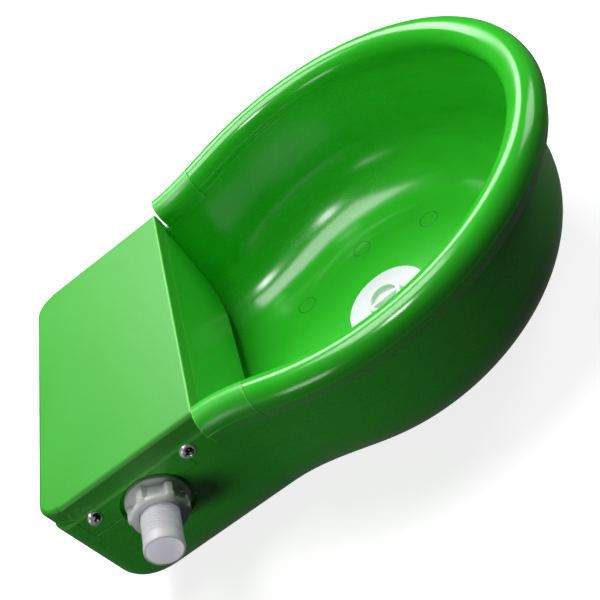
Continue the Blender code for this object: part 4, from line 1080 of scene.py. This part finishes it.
tube = {
    "endX": -0.1334, "bore": 0.0093, "crest": 0.01048, "flangeX": -0.0900, "flangeRadius": 0.017,
    "bodyX": -0.0865, "bodyEndX": -0.0619, "bodyRadius": 0.0105, "supplyRadius": 0.0042,
    "supplyEndX": -0.077, "guideRadius": 0.0074,
    "threadFrom": -0.1283, "threadTo": -0.0912, "depth": 0.00055,
    "pivotX": -0.0519, "pivotZ": 0.0592, "earRadius": 0.0062, "earWall": 0.0026, "earSpacing": 0.0172,
    "pinHole": 0.0023, "outletX": (-0.07535, -0.0704), "outletHalf": 0.0037,
}


def axisInputs(*inputs):
    # what every tree about the inlet's line takes
    start = [("Axis Y", "f", 0.0), ("Axis Z", "f", 0.0), ("From", "f", 0.0), ("To", "f", 1.0)]
    return [*start, *((label, "f", value) for label, value in inputs), ("Material", "m", None)]


def aboutInlet(tree, given):
    place = node(tree, "GeometryNodeInputPosition")[0]
    along, dy, dz, radius = aboutAxis(place, given["Axis Y"], given["Axis Z"])
    return along, dy, dz, radius, calculate("ARCTAN2", dz, dy) / (2 * pi)


def threadTree():
    # a screw thread, sunk into the tube between two places
    tree, given, out = newTree("pipeThread", axisInputs(
        ("Pitch", 0.0018), ("Depth", 0.0005), ("Least Radius", 0.01), ("Most Radius", 0.0108)))
    along, dy, dz, radius, turn = aboutInlet(tree, given)
    start, end, pitch = given["From"], given["To"], given["Pitch"]
    phase = calculate("FRACT", (along - start) / pitch + turn)
    groove = ramp(abs(phase - 0.5), 0.10, 0.40, 1.0, 0.0)
    ends = ramp(along, start, start + pitch) * ramp(along, end - pitch, end, 1.0, 0.0)
    inside = (radius > given["Least Radius"]) * (radius < given["Most Radius"])
    shrink = groove * ends * inside * given["Depth"] / radius
    return moveTree(tree, given, out, dy, dz, shrink * -1.0)


def makeValveBody():
    t, y0, z0 = tube, inlet["y"], inlet["z"]
    end, bore, crest, flangeX = t["endX"], t["bore"], t["crest"], t["flangeX"]
    length = t["threadTo"] - t["threadFrom"]
    steps = int(length / inlet["pitch"] * 14)
    profile = rounded(
        [(bore, flangeX), (t["supplyRadius"], flangeX), (t["supplyRadius"], t["supplyEndX"]),
         (t["guideRadius"], t["supplyEndX"]), (t["guideRadius"], t["bodyEndX"]),
         (t["bodyRadius"], t["bodyEndX"]),
         (t["bodyRadius"], t["bodyX"]), (t["flangeRadius"], t["bodyX"]), (t["flangeRadius"], flangeX)],
        0.0003, 3, keep=(0,))
    profile += [(crest, flangeX)] + [(crest, t["threadTo"] - length * i / steps) for i in range(steps + 1)]
    # plain end of the tube with a faint bulge and a thin end ring
    profile += [(crest + rise, end + along) for rise, along in (
        (0.00002, 0.0044), (0.00016, 0.0030), (0.00016, 0.0016), (0.00002, 0.0009), (-0.00012, 0.0006),
        (0.00005, 0.0003), (-0.0001, 0.0))]
    profile += [(bore + 0.0003, end), (bore, end + 0.0003)]
    body = lathe("valveBody", profile, (0, y0, z0), (1, 0, 0), 96)
    # two ears for the lever's pin
    rootX = t["bodyEndX"] - t["earRadius"]
    for side in (-1, 1):
        low, high = sorted((side * t["earSpacing"] / 2, side * (t["earSpacing"] / 2 + t["earWall"])))
        rings = []
        for y, tight in ((low, 0.0003), (low + 0.0003, 0.0), (high - 0.0003, 0.0), (high, 0.0003)):
            r = t["earRadius"] - tight
            outline = [(rootX, t["pivotZ"] + r), (rootX, t["pivotZ"] - r)]
            outline += arc((t["pivotX"], t["pivotZ"]), r, -pi / 2, pi / 2, 24)
            rings.append([(x, y0 + y, z) for x, z in outline])
        carve(body, skinRings("ear", rings), "UNION")
    web = bmesh.new()
    webHalf = (t["earSpacing"] + t["earWall"]) / 2
    block(web, (t["bodyX"] - 0.0003, y0 - webHalf, z0 - t["bodyRadius"] - 0.0003),
          (rootX + t["earRadius"] / 2, y0 + webHalf, z0 - t["guideRadius"] - 0.0003))
    carve(body, closedMesh("web", web), "UNION")
    holes = bmesh.new()
    rod(holes, t["pinHole"], (t["pivotX"], y0 - 0.02, t["pivotZ"]), (t["pivotX"], y0 + 0.02, t["pivotZ"]), 32)
    # the outlet under the nozzle
    half = t["outletHalf"]
    block(holes, (t["outletX"][0], y0 - half, z0 - 0.021), (t["outletX"][1], y0 + half, z0 - half))
    carve(body, closedMesh("bodyHoles", holes), "DIFFERENCE")
    runTree(
        body, threadTree(), AxisY=y0, AxisZ=z0, From=t["threadFrom"], To=t["threadTo"], Pitch=inlet["pitch"],
        Depth=t["depth"], LeastRadius=crest - 0.0004, MostRadius=crest + 0.00003, Material=tubeWhite)
    return smooth(body, 40)


valveBody = makeValveBody()
dress(valveBody, tubeWhite, "bowl", "white_plastic", "valve_body")
print("valve body:", len(valveBody.data.polygons), "faces")

lockNut = {
    "startX": -0.0969, "shoulderX": -0.1001, "faceX": -0.1109, "flangeRadius": 0.0175, "bodyRadius": 0.0128,
    "ringRadius": 0.0150, "ringWall": 0.0030, "bore": 0.01088, "ridges": 6, "ridgeReach": 0.0164,
    "ridgeWidth": 0.0062, "ridgeEdge": 0.0014, "firstTurn": 0.25,
}


def ridgeTree():
    # ridges around the nut's waist, lifted to one radius
    tree, given, out = newTree("nutRidges", axisInputs(
        ("Ridges", 6.0), ("First Turn", 0.0), ("Reach", 0.016), ("Width", 0.006), ("Edge", 0.001),
        ("Least Radius", 0.012)))
    along, dy, dz, radius, turn = aboutInlet(tree, given)
    # 10.5 keeps the fraction's argument positive and puts a ridge at the first turn
    phase = calculate("FRACT", (turn - given["First Turn"]) * given["Ridges"] + 10.5)
    arc = abs(phase - 0.5) / given["Ridges"] * (given["Reach"] * (2 * pi))
    halfWidth = given["Width"] * 0.5
    ridge = ramp(arc, halfWidth - given["Edge"], halfWidth, 1.0, 0.0)
    ends = ramp(along, given["From"], given["From"] + 0.0012) * (along < given["To"])
    inside = (radius > given["Least Radius"]) * (radius < given["Reach"])
    grow = ridge * ends * inside * (given["Reach"] - radius) / radius
    return moveTree(tree, given, out, dy, dz, grow)


def makeLockNut():
    n = lockNut
    body, ring, face, bore = n["bodyRadius"], n["ringRadius"], n["faceX"], n["bore"]
    flange, shoulder, ringBack = n["flangeRadius"], n["shoulderX"], n["faceX"] + n["ringWall"]
    # from the seat over the flange to the waist
    profile = [
        (bore, n["startX"]), (bore + 0.0003, n["startX"]), (flange - 0.0005, n["startX"]),
        (flange - 0.00012, n["startX"] - 0.00015), (flange, n["startX"] - 0.0005),
        (flange, shoulder + 0.0009), (flange - 0.00025, shoulder + 0.0003), (flange - 0.0008, shoulder),
        (body + 0.0012, shoulder),
        (body + 0.0005, shoulder - 0.00015), (body + 0.00012, shoulder - 0.0005)]
    start, end = shoulder - 0.0009, ringBack + 0.0005
    profile += [(body, start + (end - start) * i / 14) for i in range(15)]
    # up to the front ring and over it to the face
    profile += [
        (body + 0.0004, ringBack + 0.0001), (body + 0.0010, ringBack), (ring - 0.0005, ringBack),
        (ring - 0.0001, ringBack - 0.0002)]
    start, end = ringBack - 0.0005, face + 0.0012
    profile += [(ring, start + (end - start) * i / 6) for i in range(7)]
    profile += [
        (ring - 0.0003, face + 0.0006), (ring - 0.0008, face + 0.0002), (ring - 0.0013, face),
        (bore + 0.0005, face), (bore + 0.0001, face + 0.0002), (bore, face + 0.0006)]
    nut = lathe("inletLockNut", profile, (0, inlet["y"], inlet["z"]), (1, 0, 0), 216)
    runTree(
        nut, ridgeTree(), AxisY=inlet["y"], AxisZ=inlet["z"], From=face + 0.0007, To=n["shoulderX"] - 0.0002,
        Ridges=float(n["ridges"]), FirstTurn=n["firstTurn"], Reach=n["ridgeReach"], Width=n["ridgeWidth"],
        Edge=n["ridgeEdge"], LeastRadius=body - 0.0003, Material=nutWhite)
    return smooth(nut, 40)


inletLockNut = makeLockNut()
dress(inletLockNut, nutWhite, "bowl", "white_plastic", "inlet_lock_nut")
print("lock nut:", len(inletLockNut.data.polygons), "faces")

seat = {
    "bore": 0.01225, "flangeRadius": 0.0271, "low": 0.0085, "high": 0.0108, "barrelRadius": 0.019,
    "barrelLow": 0.0008, "grooveIn": 0.0200, "grooveOut": 0.0240, "groove": 0.0013, "ledge": 0.0016,
    "round": 0.0004,
}


def makeSeat():
    s = seat
    low, deep, bottom = s["low"], s["low"] + s["groove"], s["barrelLow"]
    profile = rounded(
        [(s["bore"], s["high"]), (s["flangeRadius"], s["high"]), (s["flangeRadius"], low),
         (s["grooveOut"], low), (s["grooveOut"], deep), (s["grooveIn"], deep), (s["grooveIn"], low),
         (s["barrelRadius"], low),
         (s["barrelRadius"], bottom), (s["bore"] - s["ledge"], bottom),
         (s["bore"] - s["ledge"], bottom + s["ledge"]), (s["bore"], bottom + s["ledge"])],
        s["round"], 3)
    made = lathe("drainSeat", profile, (0, drain["y"], 0), (0, 0, 1), 128)
    return smooth(made, 40)


plug = {
    "top": 0.0158, "low": 0.0027, "sealZ": 0.0045, "section": 0.0009, "pocketFloor": 0.0128, "round": 0.0009,
}


def makePlug():
    p, r = plug, drain["plugRadius"]
    top, edge, groove = p["top"], p["round"], r - 2 * p["section"]
    profile = [(0.0, top), (r - 0.0012, top)]
    for i in range(1, 7):
        angle = pi / 2 * i / 6
        profile.append((r - edge + edge * sin(angle), top - edge + edge * cos(angle)))
    high, low = p["sealZ"] + p["section"], p["sealZ"] - p["section"]
    profile += [(r, high), (groove, high), (groove, low), (r, low), (r, p["low"] + 0.0004),
                (r - 0.0004, p["low"]), (0.0, p["low"])]
    made = lathe("drainPlug", profile, (0, drain["y"], 0), (0, 0, 1), 96, closed=False)
    # two half-moon pockets with the grip bar between them
    floor, turned = p["pocketFloor"], radians(drain["turn"]) - pi / 2
    for side in (-1, 1):
        rings = []
        for z, tight in ((floor, 0.0006), (floor + 0.0006, 0.0), (top - 0.0005, 0.0), (top - 0.0001, -0.0002),
                         (top + 0.0006, -0.0009)):
            radius = drain["pocket"] - tight
            start = asin((drain["bar"] / 2 + side * drain["barShift"] + tight) / radius)
            ring = []
            for i in range(29):
                angle = start + (pi - 2 * start) * i / 28 + turned + (pi if side < 0 else 0)
                ring.append((radius * cos(angle), drain["y"] + radius * sin(angle), z))
            rings.append(ring)
        carve(made, skinRings("pocket", rings), "DIFFERENCE")
    return smooth(made, 36)


drainSeat = makeSeat()
dress(drainSeat, seatWhite, "bowl", "white_plastic", "drain_seat")
drainPlug = makePlug()
dress(drainPlug, plugWhite, "plug", "white_plastic", "drain_plug")
print("drain made")

# the other fixed parts keep their shapes and get finished surfaces
keptFinish = {
    "valve_nozzle": warmBrass, "nozzle_ring": sealRubber, "valve_plunger": nutWhite,
    "plunger_seal": sealRubber, "lever_pin": screwChrome, "pin_clip": screwChrome, "float_lever": nutWhite,
    "level_screw": warmBrass, "level_lock_nut": warmBrass, "float_arm": warmBrass,
    "lever_arm_nut": warmBrass, "float_arm_nut": warmBrass,
    "float": floatIvory, "drain_gasket": sealRubber, "drain_lock_nut": seatWhite, "plug_seal": sealRubber,
    "inlet_gasket": sealRubber,
}
for name, material in keptFinish.items():
    slots = cadNodes[name].data.materials
    slots.clear()
    slots.append(material)
print("kept nodes dressed:", len(keptFinish))

studio = {
    "topPower": 8.4, "topPlace": (0.14, 0.05, 1.15), "topSize": (0.56, 0.60),
    "keyPower": 3.2, "keyPlace": (-0.46, -0.05, 1.06), "keySize": (0.16, 0.22),
    "farPower": 10.0, "farPlace": (0.85, 0.0, 0.85), "farSize": (0.90, 0.40),
    "frontPower": 3.4, "frontPlace": (0.42, -1.05, 0.66), "frontSize": (0.50, 0.50),
    "sidePower": 2.1, "sidePlace": (-0.90, 0.70, 0.38), "sideSize": (0.40, 0.30),
    "world": 0.010, "floorBounce": 0.02, "floorShine": 0.10, "floorGlow": 0.80, "floorColour": 0.60,
}


def mixShaders(tree, factor, first, second):
    return node(tree, "ShaderNodeMixShader", (factor, first, second))[0]


def seenDirectly(rays):
    return rays["Is Camera Ray"] | rays["Is Transmission Ray"]


def makeFloor():
    # the camera sees a white floor with a soft shadow, the pieces only a faint shine of it
    shape = bmesh.new()
    bmesh.ops.create_grid(shape, x_segments=1, y_segments=1, size=6.0)
    floor = closedMesh("studioFloor", shape)
    if floor.data.polygons[0].normal.z < 0:
        floor.data.flip_normals()
    material = bpy.data.materials.new("paleFloor")
    material.use_nodes = True
    tree = material.node_tree
    shader = tree.nodes["Principled BSDF"]
    setInputs(shader, {
        "Base Color": (*[studio["floorColour"]] * 3, 1), "Roughness": 0.9, "Specular IOR Level": 0.0})
    glow = node(tree, "ShaderNodeEmission", {"Color": (1, 1, 1, 1), "Strength": studio["floorGlow"]})[0]
    shine = node(tree, "ShaderNodeEmission", {"Strength": studio["floorShine"]})[0]
    dim = node(tree, "ShaderNodeBsdfDiffuse", {"Color": (*[studio["floorBounce"]] * 3, 1)})[0]
    bright = node(tree, "ShaderNodeAddShader", (Signal(shader.outputs[0]), glow))[0]
    rays = node(tree, "ShaderNodeLightPath")
    unseen = mixShaders(tree, rays["Is Glossy Ray"], dim, shine)
    surface = mixShaders(tree, seenDirectly(rays), unseen, bright)
    feed(tree.nodes["Material Output"].inputs["Surface"], surface)
    floor.data.materials.append(material)


def areaLight(name, power, place, aim, sizeX, sizeY):
    data = bpy.data.lights.new(name, "AREA")
    data.shape = "RECTANGLE"
    data.energy, data.size, data.size_y = power, sizeX, sizeY
    lamp = linked(bpy.data.objects.new(name, data))
    lamp.location = place
    lamp.rotation_euler = (Vector(aim) - Vector(place)).to_track_quat("-Z", "Y").to_euler()
    return lamp


def makeWorld():
    # white behind the object, dim for its light
    world = bpy.data.worlds.new("studioWorld")
    bpy.context.scene.world = world
    world.use_nodes = True
    tree = world.node_tree
    dim = tree.nodes["Background"]
    setInputs(dim, {"Color": (1, 1, 1, 1), "Strength": studio["world"]})
    white = node(tree, "ShaderNodeBackground", {"Color": (1, 1, 1, 1), "Strength": 1.0})[0]
    rays = node(tree, "ShaderNodeLightPath")
    surface = mixShaders(tree, seenDirectly(rays), Signal(dim.outputs[0]), white)
    feed(tree.nodes["World Output"].inputs["Surface"], surface)


makeFloor()
makeWorld()
for lamp in ("top", "key", "far", "front", "side"):
    power, place, size = (studio[lamp + fact] for fact in ("Power", "Place", "Size"))
    made = areaLight(lamp, power, place, (0, 0, 0.05), *size)
    # the small key light only gives the bright streaks in the gloss
    made.visible_diffuse = lamp != "key"

cameraFacts = {
    "place": (-0.483767, -0.105970, 0.386682), "turn": (46.6241, 35.3258, -104.7751), "lens": 61.32,
    "shift": (0.0008, 0.0007),
}
lens = bpy.data.cameras.new("camera")
lens.lens = cameraFacts["lens"]
lens.sensor_width = 36.0
lens.shift_x, lens.shift_y = cameraFacts["shift"]
lens.clip_start, lens.clip_end = 0.02, 50.0
camera = linked(bpy.data.objects.new("camera", lens))
camera.location = cameraFacts["place"]
camera.rotation_euler = [radians(a) for a in cameraFacts["turn"]]
bpy.context.scene.camera = camera
bpy.context.scene.view_settings.view_transform = "Standard"
print("stage set")
